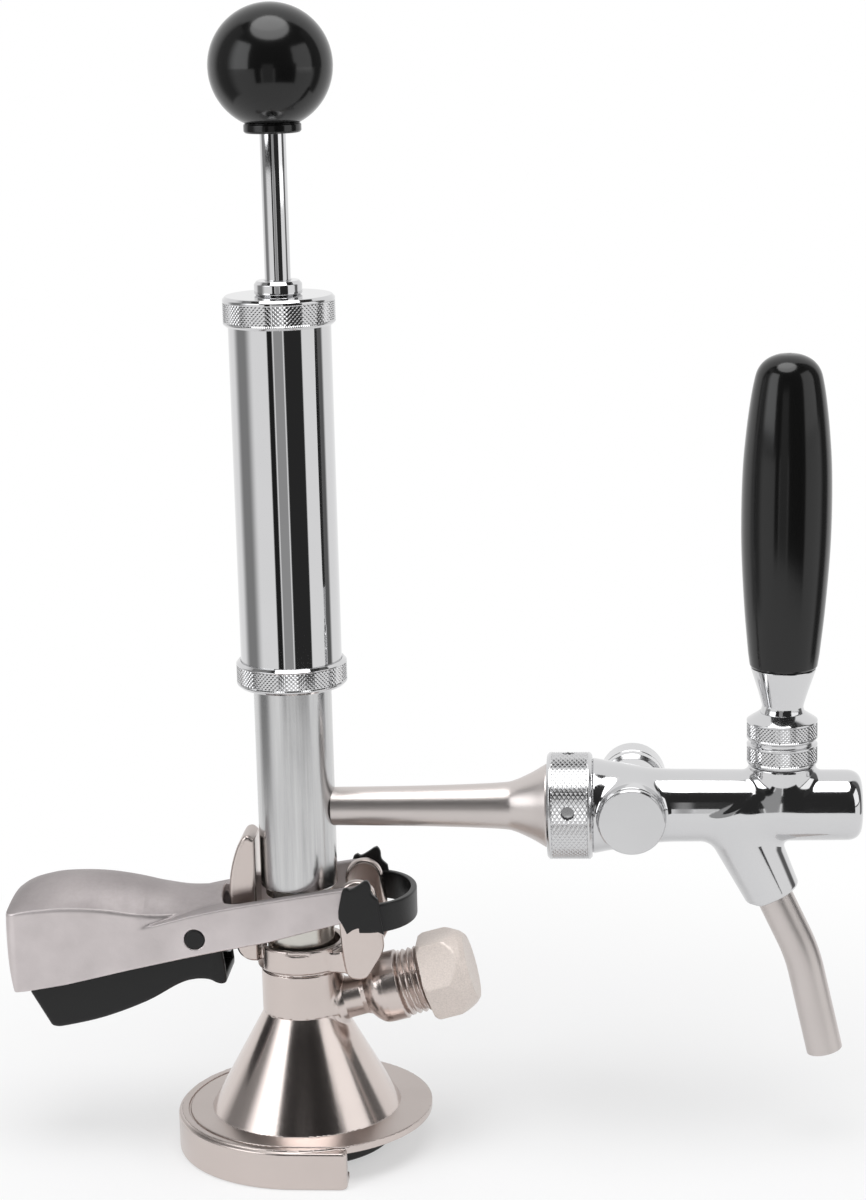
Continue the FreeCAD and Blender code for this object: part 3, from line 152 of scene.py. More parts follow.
def table_top(root):
    """Pale paint that keeps the object's shadow, and turns plain white away from it."""
    away = root.node("VectorMath", {"operation": "DISTANCE"},
                     {0: root.node("NewGeometry"), 1: aim * Vector((1, 1, 0))}, "Value")
    whiter = (0.5 + 0.5 * away.step(0.1, 0.34)) * seen_rays(root)
    paint = root.node("BsdfDiffuse", inputs={"Color": (0.88, 0.88, 0.885, 1)})
    white = root.node("Emission", inputs={"Strength": 1.0})
    return root.node("MixShader", inputs={0: whiter, 1: paint, 2: white})


table_reach = 60
flat_piece("table", [(x * table_reach, y * table_reach, 0) for x, y in ((-1, -1), (1, -1), (1, 1), (-1, 1))],
           [(0, 1, 2, 3)], finish("table_white", table_top))

room_light = 0.42
world = bpy.data.worlds.new("studio_room")
world.use_nodes = True
world.node_tree.nodes.clear()
room = Shade(world.node_tree)
strength = room_light + (1 - room_light) * seen_rays(room)
glow = room.node("Background", inputs={"Color": (1, 1, 1, 1), "Strength": strength})
room.node("OutputWorld", inputs={"Surface": glow})
bpy.context.scene.world = world


def around(azimuth, reach, height):
    """A point at an azimuth from the camera's side, positive to the camera's right."""
    angle = turn + math.radians(azimuth)
    return Vector((math.sin(angle) * reach, -math.cos(angle) * reach, height))


def lamp(name, place, target, size, radiance, colour=(1, 1, 1), shape="RECTANGLE"):
    """An area lamp that faces a target."""
    data = bpy.data.lights.new(name, "AREA")
    data.shape, data.size, data.size_y = shape, size[0], size[1]
    area = size[0] * size[1] * (math.pi / 4 if shape == "ELLIPSE" else 1)
    data.energy = radiance * math.pi * area
    data.color = colour
    made = bpy.data.objects.new(name, data)
    made.location = place
    made.rotation_euler = (place - target).to_track_quat("Z", "Y").to_euler()
    bpy.context.scene.collection.objects.link(made)


lamp("overhead", Vector((0.05, -0.25, 1.13)), Vector((0.05, -0.25, 0)), (0.84, 0.84), 3.8, shape="ELLIPSE")
lamp("softbox_left", around(-60, 1.0, 0.74), Vector((0, 0, 0.74)), (0.80, 0.92), 2.4, (0.98, 0.99, 1))
lamp("softbox_right", around(65, 1.0, 0.62), Vector((0, 0, 0.62)), (0.69, 0.76), 1.3)


def cloth(grey, start=0.0, end=0.0, fade=0.0):
    """A plain cloth; between two azimuths its upright edges thin out over ``fade`` degrees."""
    def surface(root):
        weave = root.node("Emission", inputs={"Strength": grey})
        if not fade:
            return weave
        place, middle, half = root.node("NewGeometry"), (start + end) / 2, (end - start) / 2
        bearing = root.math("ARCTAN2", place.along("X"), 0.0 - place.along("Y"))
        aside = root.math("ABSOLUTE", bearing - (turn + math.radians(middle)))
        thin = aside.step(math.radians(half - fade), math.radians(half))
        return root.node("MixShader", inputs={0: thin, 1: weave, 2: root.node("BsdfTransparent")})
    return surface


def reflected_only(sheet):
    """Hides a cloth from everything but mirror-like reflections."""
    for ray in ("camera", "diffuse", "transmission", "volume_scatter", "shadow"):
        setattr(sheet, "visible_" + ray, False)


def cloth_panel(name, start, end, reach, low, high, grey, fade=1.0):
    """A hanging cloth, curved round the object between two azimuths."""
    strips = 16
    azimuths = [start + (end - start) * k / strips for k in range(strips + 1)]
    points = [around(azimuth, reach, z) for azimuth in azimuths for z in (low, high)]
    faces = [(2 * k, 2 * k + 1, 2 * k + 3, 2 * k + 2) for k in range(strips)]
    weave = finish(name + "_cloth", cloth(grey, start, end, fade))
    reflected_only(flat_piece(name, points, faces, weave))


cloth_panel("left_stand", -125, -60, 0.42, 0.0, 0.95, 0.28, 24)
cloth_panel("dark_left", -28, -13, 0.68, 0.0, 0.42, 0.02, 3)
cloth_panel("grey_gap", -13, 9, 0.68, 0.0, 0.42, 0.38, 2)
cloth_panel("dark_right", 9, 52, 0.68, 0.0, 0.42, 0.03, 3)
cloth_panel("dark_upper", -21, 32, 0.68, 0.42, 0.95, 0.03, 8)
cloth_panel("right_stand", 84, 112, 0.55, 0.0, 0.95, 0.14, 9)

dome_radius, dome_lifts = 1.6, [math.radians(angle) for angle in range(8, 73, 8)]
dome = [around(azimuth, dome_radius * math.cos(lift), dome_radius * math.sin(lift))
        for azimuth in range(-110, 111, 10) for lift in dome_lifts]
rows = len(dome_lifts)
dome_faces = [(k, k + 1, k + rows + 1, k + rows) for k in range(len(dome) - rows) if (k + 1) % rows]
reflected_only(flat_piece("dark_ceiling", dome, dome_faces, finish("ceiling_cloth", cloth(0.04))))


# Coupler body
# One forging, machined and plated in satin nickel: a half-ring skirt with the lip that
# hooks under the keg's flange, plate, cone, neck and collar, the locking fin, the two
# hinge lugs and the gas stub. Its edges and roots are softly rounded.
def srgb(red, green, blue):
    """A colour by its three screen values, from 11 to 255."""
    return tuple(((v / 255 + 0.055) / 1.055) ** 2.4 for v in (red, green, blue)) + (1.0,)


def grained(root, scale, depth, stretch=(1, 1, 1)):
    """A fine grain: its height between 0 and 1, and the surface normal it gives."""
    place = root.node("TexCoord", output="Object")
    place = root.node("Mapping", inputs={"Vector": place, "Scale": stretch})
    height = root.node("TexNoise", inputs={"Vector": place, "Scale": scale, "Detail": 2.0})
    normal = root.node("Bump", inputs={"Strength": 1.0, "Distance": depth * mm, "Height": height})
    return height, normal


def metal(name, colour, rough, spread, scale, depth, stretch=(1, 1, 1), cloud=0.0, top_shade_and_dulling=0.0,
          speck=0.0, metallic=1.0, machined=None):
    """Bare or plated metal with a grain. ``cloud`` is how far its tone and polish wander,
    ``speck`` how dark its pits are, ``top_shade_and_dulling`` how much painted shade darkens
    the faces that look up and how much rougher they are, and ``machined`` the heights between
    which it is smoother. A face looks up more and more as it slopes by less than 59 degrees,
    and fully below 44."""
    def surface(root):
        place, facing = (root.node("TexCoord", output=way) for way in ("Object", "Normal"))
        grain, normal = grained(root, scale, depth, stretch)
        patches = root.node("TexNoise", inputs={"Vector": place, "Scale": 60.0, "Detail": 3.0})
        darker = tuple(0.6 * v for v in colour[:3]) + (1.0,)
        looks_up, fully_up = 0.52, 0.72
        # Painted shade: faces that look up are darkened towards black, and made rougher.
        shaded_dull_top = facing.along("Z").step(looks_up, fully_up, 0.0, top_shade_and_dulling)
        tone = root.mix(patches * cloud + grain * speck, colour, darker)
        tone = root.mix(shaded_dull_top, tone, (0, 0, 0, 1))
        polish = rough + (grain - 0.5) * spread + (patches - 0.5) * (cloud * 0.2) + shaded_dull_top * 0.5
        if machined:
            low, high = (height * mm for height in machined)
            smoother, fade = 0.07, 12 * mm
            height = place.along("Z")
            polish = polish - height.step(high - fade, high, smoother, 0.0) * (height > low)
        return root.node("BsdfPrincipled", inputs={"Base Color": tone, "Metallic": metallic,
                                                   "Roughness": polish, "Normal": normal})
    return finish(name, surface)


def smooth_join(a, b, fillet):
    """Distance from two solids joined with a fillet about as wide as given."""
    near = np.maximum(fillet - np.abs(a - b), 0)
    return np.minimum(a, b) - near * near / (4 * fillet)


def overlap(a, b, edge=0.5):
    """Distance from what two solids share, its edge rounded."""
    return -smooth_join(-a, -b, edge)


def without(a, b, edge=0.5):
    """Distance from one solid with another cut out of it."""
    return overlap(a, -b, edge)


def from_outline(x, z, corners):
    """Signed distance in a plane from an outline of corners, negative inside."""
    best, inside = np.full(x.shape, 1e9), np.zeros(x.shape, bool)
    for (x0, z0), (x1, z1) in zip(corners, corners[1:] + corners[:1]):
        ex, ez = x1 - x0, z1 - z0
        share = np.clip(((x - x0) * ex + (z - z0) * ez) / (ex * ex + ez * ez), 0, 1)
        best = np.minimum(best, (x - x0 - share * ex) ** 2 + (z - z0 - share * ez) ** 2)
        if z0 != z1:
            inside ^= ((z0 <= z) != (z1 <= z)) & (x - x0 < (z - z0) * ex / ez)
    return np.where(inside, -1, 1) * np.sqrt(best)


def curve_through(corners, steps):
    """Points of a smooth curve through the corners, ``steps`` from each to the next."""
    p = [np.array(c, float) for c in corners]
    p = [2 * p[0] - p[1]] + p + [2 * p[-1] - p[-2]]
    line = [tuple(0.5 * (2 * b + (c - a) * t + (2 * a - 5 * b + 4 * c - d) * t ** 2
                         + (3 * b - a - 3 * c + d) * t ** 3))
            for a, b, c, d in zip(p, p[1:], p[2:], p[3:]) for t in np.arange(steps) / steps]
    return line + [tuple(p[-2])]


def piece(name, points, faces, normals, material, corner_normals=None):
    """An object from points in millimetres, shaded by the normals given."""
    mesh = bpy.data.meshes.new(name)
    mesh.from_pydata((np.asarray(points) * mm).tolist(), [], faces)
    mesh.materials.append(material)
    mesh.polygons.foreach_set("use_smooth", [True] * len(mesh.polygons))
    mesh.update()
    if corner_normals is not None:
        mesh.normals_split_custom_set(corner_normals)
    else:
        mesh.normals_split_custom_set_from_vertices(normals)
    made = bpy.data.objects.new(name, mesh)
    bpy.context.scene.collection.objects.link(made)
    return made


def cast(name, solid, low, high, cell, material):
    """A casting's skin: where the distance solid(x, y, z) is nought, inside a box.

    The box is searched in coarse blocks and only those that the skin passes through are
    divided. Each cell on the skin gets one point, set on the surface, with its normal.
    """
    span = 8
    block = span * cell
    reach = 1.15 * block
    low, counts = np.array(low, float), [int(math.ceil((b - a) / cell / span)) for a, b in zip(low, high)]
    blocks = np.stack(np.meshgrid(*map(np.arange, counts), indexing="ij"), -1).reshape(-1, 3)
    middle = solid(*(low + (blocks + 0.5) * block).T)
    kept = blocks[np.abs(middle) < reach]
    shape = [n * span + 1 for n in counts]
    field = np.repeat(np.repeat(np.repeat(middle.reshape(counts), span, 0), span, 1), span, 2)
    field = np.pad(field, ((0, 1), (0, 1), (0, 1)), mode="edge").astype(float)
    wanted = np.zeros(shape, bool)
    for i, j, k in kept * span:
        wanted[i:i + span + 1, j:j + span + 1, k:k + span + 1] = True
    where = np.argwhere(wanted)
    field[wanted] = solid(*(low + where * cell).T)
    inside = field < 0
    offsets = [(i, j, k) for i in (0, 1) for j in (0, 1) for k in (0, 1)]
    tally = sum(inside[i:shape[0] - 1 + i, j:shape[1] - 1 + j, k:shape[2] - 1 + k].astype(np.int8)
                for i, j, k in offsets)
    cells = np.argwhere((tally > 0) & (tally < 8))
    total, crossings = np.zeros((len(cells), 3)), np.zeros((len(cells), 1))
    for a in offsets:
        for axis in range(3):
            if a[axis]:
                continue
            b = tuple(v + (k == axis) for k, v in enumerate(a))
            fa, fb = (field[tuple((cells + o).T)] for o in (a, b))
            crossed = ((fa < 0) != (fb < 0))[:, None]
            share = (fa / np.where(fa == fb, 1, fa - fb))[:, None]
            total += np.where(crossed, np.array(a) + share * (np.array(b) - a), 0)
            crossings += crossed
    points = low + (cells + total / crossings) * cell

    def slope(p):
        step = 0.04
        return np.stack([(solid(*(p + s).T) - solid(*(p - s).T)) / (2 * step) for s in np.eye(3) * step], -1)

    rounds, least_slope, longest = 3, 0.2, 0.6 * cell
    for _ in range(rounds):
        rise = slope(points)
        move = solid(*points.T)[:, None] * rise / np.maximum((rise ** 2).sum(1, keepdims=True), least_slope)
        points -= np.clip(move, -longest, longest)
    rise = slope(points)
    normals = rise / np.maximum(np.linalg.norm(rise, axis=1, keepdims=True), 1e-9)
    number = np.full(tally.shape, -1)
    number[tuple(cells.T)] = np.arange(len(cells))
    faces = []
    for axis in range(3):
        one, two = (axis + 1) % 3, (axis + 2) % 3
        a = [slice(1, n - 1) for n in shape]
        a[axis] = slice(0, shape[axis] - 1)
        b = list(a)
        b[axis] = slice(1, shape[axis])
        changes = inside[tuple(a)] != inside[tuple(b)]
        at = np.argwhere(changes) + [0 if k == axis else 1 for k in range(3)]
        corners = []
        for da, db in ((0, 0), (-1, 0), (-1, -1), (0, -1)):
            shift = np.zeros(3, int)
            shift[one], shift[two] = da, db
            corners.append(number[tuple((at + shift).T)])
        quads = np.stack(corners, -1)
        outward = inside[tuple(at.T)][:, None]
        faces.append(np.where(outward, quads, quads[:, ::-1]))
    faces = np.concatenate(faces)
    return piece(name, points, faces[(faces >= 0).all(1)].tolist(), normals, material)


def fitted(made, body, slot, *nodes):
    """Sets a finished piece on its body, in place of the plain solids it stands for."""
    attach(made, body)
    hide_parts(*nodes)
    return made


# Its faces that look up, the fin's top among them, carry painted shade.
satin_nickel = metal("satin_nickel", srgb(211, 200, 195), 0.23, 0.08, 1100.0, 0.0035,
                     cloud=0.20, top_shade_and_dulling=0.24, machined=(14.2, 52))
gas_tilt = math.radians(15)
gas_z, hinge_x, hinge_z = 47.75, 21.0, 91.4
skirt_radius, skirt_top, skirt_end, skirt_wall = 44.5, 13.2, 18, 4.5
neck_bottom, neck_top = 10.8, 73.5


def along_gas(x, y, z):
    """Distance along the gas stub's slanted axis, upward from it and away from it."""
    s = x * math.cos(gas_tilt) + (z - gas_z) * math.sin(gas_tilt)
    up = (z - gas_z) * math.cos(gas_tilt) - x * math.sin(gas_tilt)
    return s, up, np.hypot(y, up)


def hinge_arc(radius, z):
    """The fin's point at a height, on an arc round the handle's hinge."""
    return hinge_x - math.sqrt(radius ** 2 - (z - hinge_z) ** 2), z


fin_radius, fin_catch_radius = 44.3, 46.7
fin_outline = curve_through([(-14.05, 67.3), (-16.6, 67.4), (-18.7, 68.2), (-20.6, 70.0),
                             hinge_arc(fin_catch_radius, 72.5)], 3)
fin_outline += [hinge_arc(46.3, 78.8), hinge_arc(45.2, 82.0)]
fin_outline += [hinge_arc(fin_radius, z) for z in np.linspace(86.3, 107.5, 14)]
fin_outline += curve_through([hinge_arc(fin_radius, 108.2), (-18.6, 110.7), (-17.4, 111.8),
                              (-15.8, 111.9), (-14.05, 110.4)], 3)
lug_outline = curve_through([(27.5, 91.4), (29.4, 78.0), (29.2, 73.0), (26.2, 67.6), (23.4, 63.6),
                             (19.9, 62.9), (17.0, 64.6), (15.6, 72.0), (14.7, 81.4), (14.5, 91.4)], 4)
shell_outline = [(0, neck_bottom), (43.4, neck_bottom), (43.4, 13.8), (32.6, 13.8), (13.6, 48.3),
                 (14, 48.7), (14, 63.4), (13.5, 63.9), (13.5, 64.9), (14.9, 64.9), (15.5, 65.7),
                 (15.5, neck_top), (0, neck_top)]
hollow_outline = [(0, 9.8), (31.3, 9.8), (31.3, 13.8), (28.7, 15.0), (12.6, 46.7), (12.6, 54.0),
                  (11.55, 54.0), (11.55, 67.5), (13.2, 68.5), (13.2, 115), (0, 115)]
root_outline = [(10.5, 64.6), (23, 63.6), (26.6, 68.2), (26, 72.5), (17, 72.5), (10.5, 71.5)]
stub_outline = [(0, 6), (8.4, 6), (8.4, 13.0), (7.1, 15.4), (7.0, 21.6)]
stub_outline += curve_through([(7.6, 23.2), (10.0, 25.3), (11.6, 27.6), (12, 30.5)], 5)
stub_outline += [(12, 35.3), (10.4, 36.3), (10.4, 50), (0, 50)]


def slab(value, low, high):
    """Distance from the space between two values of a coordinate."""
    return np.abs(value - (low + high) / 2) - (high - low) / 2


def coupler_body_solid(x, y, z):
    r = np.hypot(x, y)
    u = np.where(x < 0, r, np.abs(y))
    # Half-ring skirt with its lip, open towards the tap
    skirt = overlap(overlap(u - skirt_radius, x - skirt_end, 2.2), slab(z, 0, skirt_top), 1.2)
    skirt = without(skirt, overlap(u - (skirt_radius - skirt_wall), 2.8 - z, 0.5), 0.5)
    skirt = without(skirt, overlap(u - 34.5, z - 4, 0.5), 0.5)
    # Plate, cone and collar, a mark in the collar's rim, and the groove round the plate
    shell = overlap(from_outline(r, z, shell_outline), slab(z, neck_bottom, neck_top), 1.0)
    rim_mark = overlap(slab(x - z, -75.9, -67.5), np.maximum(72.0 - z, y + 14.8), 0.3)
    shell = without(shell, rim_mark, 0.3)
    solid = without(smooth_join(skirt, shell, 0.6), overlap(slab(u, 40.25, 40.95), 12.9 - z, 0.2), 0.3)
    # Hinge lugs on their root, and the gas stub
    hinge = np.hypot(x - hinge_x, z - hinge_z)
    lug = smooth_join(from_outline(x, z, lug_outline), hinge - 6.5, 0.3)
    lug = overlap(lug, slab(np.abs(y), 10.2, 14.0), 1.4)
    root = overlap(from_outline(x, z, root_outline), np.abs(y) - 11.0, 1.0)
    solid = smooth_join(solid, smooth_join(lug, root, 1.6), 1.2)
    s, _, q = along_gas(x, y, z)
    solid = smooth_join(solid, from_outline(q, s, stub_outline), 1.6)
    solid = without(solid, overlap(overlap(np.abs(y) - 10.2, 65.6 - z, 1.2), x + 12, 0.5), 0.6)
    # Locking fin and the web that carries it
    fin = overlap(from_outline(x, z, fin_outline), np.abs(y) - 7.5, 1.6)
    web = overlap(np.maximum(slab(x, -15.8, -11.4), slab(z, 67.3, 71.1)), np.abs(y) - 4.5, 0.6)
    solid = smooth_join(solid, smooth_join(fin, web, 1.2), 1.0)
    # Room for the probe, the hinge pins and the gas
    solid = without(solid, from_outline(r, z, hollow_outline), 0.4)
    solid = without(solid, overlap(hinge - 3.02, 11.4 - np.abs(y), 0.1), 0.3)
    bore = np.minimum(overlap(q - 3, 11 - s, 0.2), overlap(q - 8, 28.5 - s, 0.5))
    return without(solid, bore, 0.4)


forging = cast("coupler_forging", coupler_body_solid, (-46, -46, -1), (50.5, 46, 115), 0.5, satin_nickel)
fitted(forging, "coupler_base", "satin_nickel", "coupler_body")


# Gas inlet
# The stub's thread, and over it a closed hexagon cap nut of blasted nickel with turned
# ends. Behind them sit a rubber check valve and the cap's washer.
def rounded(corners, radius=0.25):
    """An outline's places and outward normals, each sharp corner turned into an arc.

    A corner on the axis, or one that hardly bends, stays as it is.
    """
    on_axis, least_bend, longest_cut, arc_step = 1e-6, 0.22, 0.45, 0.4
    places, normals = [], []
    for k, corner in enumerate(corners):
        here, arc = np.array(corner[:2], float), corner[2] if len(corner) > 2 else radius
        before, after = np.array(corners[k - 1][:2]), np.array(corners[(k + 1) % len(corners)][:2])
        lengths = np.hypot(*(here - before)), np.hypot(*(after - here))
        a, b = (here - before) / lengths[0], (after - here) / lengths[1]
        bend = math.atan2(a[0] * b[1] - a[1] * b[0], a @ b)
        if here[0] < on_axis or abs(bend) < least_bend:
            way = a + b if here[0] > on_axis else a if before[0] > on_axis else b
            places.append(here)
            normals.append(np.array((way[1], -way[0])) / np.hypot(*way))
            continue
        cut = min(arc * math.tan(abs(bend) / 2), longest_cut * lengths[0], longest_cut * lengths[1])
        arc = cut / math.tan(abs(bend) / 2) * (1 if bend > 0 else -1)
        centre = here - a * cut + arc * np.array((-a[1], a[0]))
        steps = max(2, math.ceil(abs(bend) / arc_step))
        for step in range(steps + 1):
            c, s = math.cos(bend * step / steps), math.sin(bend * step / steps)
            normal = np.array((a[1] * c + a[0] * s, a[1] * s - a[0] * c))
            places.append(centre + arc * normal)
            normals.append(normal)
    return places, normals


def straight(origin, axis, start):
    """Path of a straight piece: for a height, the axis point and the frame there."""
    origin, axis = np.array(origin, float), np.array(axis, float) / np.linalg.norm(axis)
    start = np.array(start, float) - np.dot(start, axis) * axis
    start /= np.linalg.norm(start)
    return lambda height: (origin + height * axis, axis, start, np.cross(axis, start))


def turned(name, corners, material, path=straight((0, 0, 0), (0, 0, 1), (0, -1, 0)), radius=0.25,
           sides=96, relief=None):
    """A turned piece: a closed outline of (radius, height) corners spun on a path.

    The outline runs up the outside. ``relief(angle, height, radius)`` gives how far the
    surface is sunk there, as by a knurl, where it faces straight out.
    """
    on_axis, straight_out = 1e-6, 0.9
    angles = np.arange(sides) * 2 * math.pi / sides
    points, normals, rings, sunk = [], [], [], []
    for (reach, height), (out, along) in zip(*rounded(corners, radius)):
        middle, axis, one, two = path(height)
        ray = np.cos(angles)[:, None] * one + np.sin(angles)[:, None] * two
        if reach < on_axis:
            ray = ray[:1] * 0
        depth = np.zeros(len(ray))
        if relief is not None and out > straight_out:
            depth = relief(angles, height, reach)
        rings.append(np.arange(len(ray)) + sum(map(len, points)))
        points.append(middle + (reach - depth)[:, None] * ray)
        normals.append(out * ray + along * axis)
        sunk.append(depth)
    points, normals, sunk = np.concatenate(points), np.concatenate(normals), np.concatenate(sunk)
    after, faces = (np.arange(sides) + 1) % sides, []
    for low, high in zip(rings, rings[1:] + rings[:1]):
        if len(low) > 1 and len(high) > 1:
            faces += np.stack([low, low[after], high[after], high], 1).tolist()
        elif len(high) > 1:
            faces += np.stack([low.repeat(sides), high[after], high], 1).tolist()
        elif len(low) > 1:
            faces += np.stack([low, low[after], high.repeat(sides)], 1).tolist()
    if relief is None:
        return piece(name, points, faces, normals, material)
    corner_normals = []
    for face in faces:
        if sunk[face].any():
            a, b, c, d = (points[face[min(k, len(face) - 1)]] for k in range(4))
            flat = np.cross(c - a, d - b)
            corner_normals += [flat / max(np.linalg.norm(flat), 1e-9)] * len(face)
        else:
            corner_normals += list(normals[face])
    return piece(name, points, faces, None, material, corner_normals)


def dressed(material, *nodes):
    """The finish on a plain piece that is carried over as it is."""
    for node in nodes:
        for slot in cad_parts[node].material_slots:
            slot.material = material


gas_axis = (math.cos(gas_tilt), 0, math.sin(gas_tilt))
along_stub = straight((0, 0, gas_z), gas_axis, (0, -1, 0))
thread_pitch, thread_depth = 2.1, 1.05
thread_rows = [(11.45, s) for s in np.arange(36.6, 50.0, 0.22)]


def stub_thread(angle, height, radius):
    """A rounded V thread: a helix that rises by one pitch a turn."""
    share = (height / thread_pitch - angle / (2 * math.pi)) % 1.0
    return thread_depth * np.abs(2 * share - 1) ** 1.3 + 0.001


thread = turned("stub_thread", [(10.2, 36.4)] + thread_rows + [(10.2, 50.0)], satin_nickel, along_stub,
                radius=0.1, sides=72, relief=stub_thread)
fitted(thread, "coupler_base", "satin_nickel", "coupler_body")

blasted_nickel = metal("blasted_nickel", srgb(246, 234, 226), 0.42, 0.30, 1900.0, 0.040,
                       cloud=0.20, speck=0.8, metallic=0.2)
nut_width = 27.0


def cap_nut_solid(x, y, z):
    s, up, q = along_gas(x, y, z)
    flats = [np.abs(y * math.cos(a) + up * math.sin(a)) - nut_width / 2 for a in np.radians((90, 30, -30))]
    hexagon = overlap(overlap(flats[0], flats[1], 0.35), flats[2], 0.35)
    nut = overlap(hexagon, np.maximum(q - 14.3 - (s - 44.4) * 0.9, 44.4 - s), 0.4)
    crown = from_outline(q, s, [(0, 30), (15.8, 30), (15.8, 53.4), (12.7, 58.9), (11.2, 60.4), (0, 60.4)])
    nut = overlap(nut, crown, 0.5)
    return without(nut, overlap(q - 11.5, s - 52, 0.3), 0.5)


nut = cast("hexagon_cap", cap_nut_solid, (36, -16.5, 41), (66, 16.5, 81), 0.4, blasted_nickel)
fitted(nut, "coupler_base", "blasted_nickel", "gas_cap_nut")


def moulded(name, dark, light, share, scale, depth, rough, spread, specular=0.5):
    """Moulded rubber or plastic: two close tones, and the fine texture of its mould."""
    def surface(root):
        grain, normal = grained(root, scale, depth)
        return root.node("BsdfPrincipled", inputs={
            "Base Color": root.mix(grain * share, dark, light), "Roughness": rough + grain * spread,
            "Normal": normal, "Specular IOR Level": specular})
    return finish(name, surface)


black_rubber = moulded("black_rubber", srgb(30, 30, 30), srgb(44, 44, 43), 0.5, 700.0, 0.012, 0.55, 0.15)
dressed(black_rubber, "gas_check_valve", "gas_cap_washer")

# Probe and bottom seal
# A turned brass-cored probe, plated, slides in the neck on two O-rings. Its groove takes
# the handle's drive pins, and its foot carries the rubber bell that seals on the keg.
probe_nickel = metal("probe_nickel", srgb(205, 202, 196), 0.22, 0.06, 1500.0, 0.004,
                     stretch=(1, 1, 30), cloud=0.08)
probe_corners = [(4.6, 1.4), (7.3, 1.4), (8.5, 2.6), (8.5, 5.2), (17.4, 5.2), (18.2, 6.0), (18.2, 9.0),
                 (11.5, 9.0)]
for middle, half, bottom in ((55.6, 1.1, 9.51), (58.2, 1.1, 9.51), (87.0, 3.05, 9.2)):
    probe_corners += [(11.5, middle - half), (bottom, middle - half), (bottom, middle + half),
                      (11.5, middle + half)]
probe_corners += [(11.5, 92.9), (10.4, 92.9), (10.4, 100.9), (7.5, 100.9), (7.5, 10.2), (4.6, 10.2)]
stem = turned("sliding_probe", probe_corners, probe_nickel, radius=0.3)
fitted(stem, "pump_assembly", "probe_nickel", "probe")
bell = turned("seal_bell", [(11.52, 9.02), (18.5, 9.02), (21.4, 3.4), (22.6, 1.9), (29.2, 1.9), (30, 2.7),
                            (30, 5.0, 0.8), (17.02, 14.02, 1.5), (11.52, 14.02)], black_rubber, radius=0.5)
fitted(bell, "pump_assembly", "black_rubber", "bottom_seal")
dressed(black_rubber, "probe_o_rings", "riser_o_ring")
plain_steel = metal("plain_steel", srgb(186, 186, 188), 0.28, 0.1, 1200.0, 0.006,
                    stretch=(1, 1, 20), cloud=0.1)
dressed(plain_steel, "beer_riser")

# Handle
# One zinc casting, tumbled and nickel plated: two arms that straddle the column and a
# hollow grip with a crowned palm. It swings on a pin through each lug, and two drive pins
# on its arms lift and lower the probe.
# Its faces that look up, the palm above all, carry painted shade and are rougher.
cast_zinc = metal("cast_zinc", srgb(231, 223, 223), 0.44, 0.14, 800.0, 0.030, cloud=0.80, top_shade_and_dulling=0.43)
fork_ridge = [(26.4, -0.2), (26.2, 1.6), (24.6, 4.0), (22.0, 5.4)]
fork_ridge += curve_through([(21, 5.4), (-1.5, 1.9), (-21.7, -1.5), (-34.0, -4.0), (-43.3, -6.4),
                             (-53.0, -8.9), (-70.0, -13.0)], 5)
lower_line = [(-101.0, -32.6), (-91.0, -31.3), (-79.0, -29.2), (-56.4, -23.8), (-38.3, -19.8),
              (-24.8, -17.0), (-10.0, -14.2), (5.0, -10.2), (17.0, -7.0), (20.0, -5.5), (22.5, -5.2),
              (25.2, -3.4), (26.4, -0.2)]
ledge_line = [(-62, -13.2), (-53.3, -11.8), (-39.3, -8.6), (-25.7, -5.2), (-19.7, -4.2)]
fork_outline = [(x, z + hinge_z) for x, z in fork_ridge + [(-70.0, -40.0), (40.0, -40.0), (26.4, -3.0)]]
grip_half, fork_half, wall = 17.5, 14.3, 2.8
rear_x, rear_bow, corner_radius = -99.4, 85.4, 4.0
heel_x, trigger_x, trigger_z = -24.7, -34.2, 78.6
grip_places = np.array([-101.0, -95.0, -86.0, -75.0, -66.0, -56.0, -50.0, -44.0, -39.0, -32.0, -25.7])
grip_shares = np.array([[1.4, 1.4, 1.4, 1.4, 1.4, 1.2, 0.92, 0.70, 0.48, 0.18, 0.0],
                        [-4.9, -3.6, -2.6, -2.2, -2.7, -3.9, -4.7, -5.2, -5.3, -4.2, -2.6],
                        [0.12, 0.62, 0.94, 1.03, 1.05, 1.0, 0.92, 0.86, 0.80, 0.66, 0.5]])


def through(x, places, values):
    """A smooth line through values at places."""
    slopes = np.gradient(values, places)
    k = np.clip(np.searchsorted(places, x) - 1, 0, len(places) - 2)
    width = places[k + 1] - places[k]
    t = np.clip((x - places[k]) / width, 0, 1)
    a, b = values[k], values[k + 1]
    return (a * (1 + 2 * t) * (1 - t) ** 2 + b * t * t * (3 - 2 * t)
            + width * t * (1 - t) * (slopes[k] * (1 - t) - slopes[k + 1] * t))


def grip_top(y, half, side, crown):
    """The palm's height, crowned across the grip, and how much it slants there."""
    rise = 7.6 * crown
    tilt = 2 * rise * y / half ** 2
    return side + hinge_z + rise * (1 - (y / half) ** 2), np.sqrt(1 + np.minimum(tilt ** 2, 9))


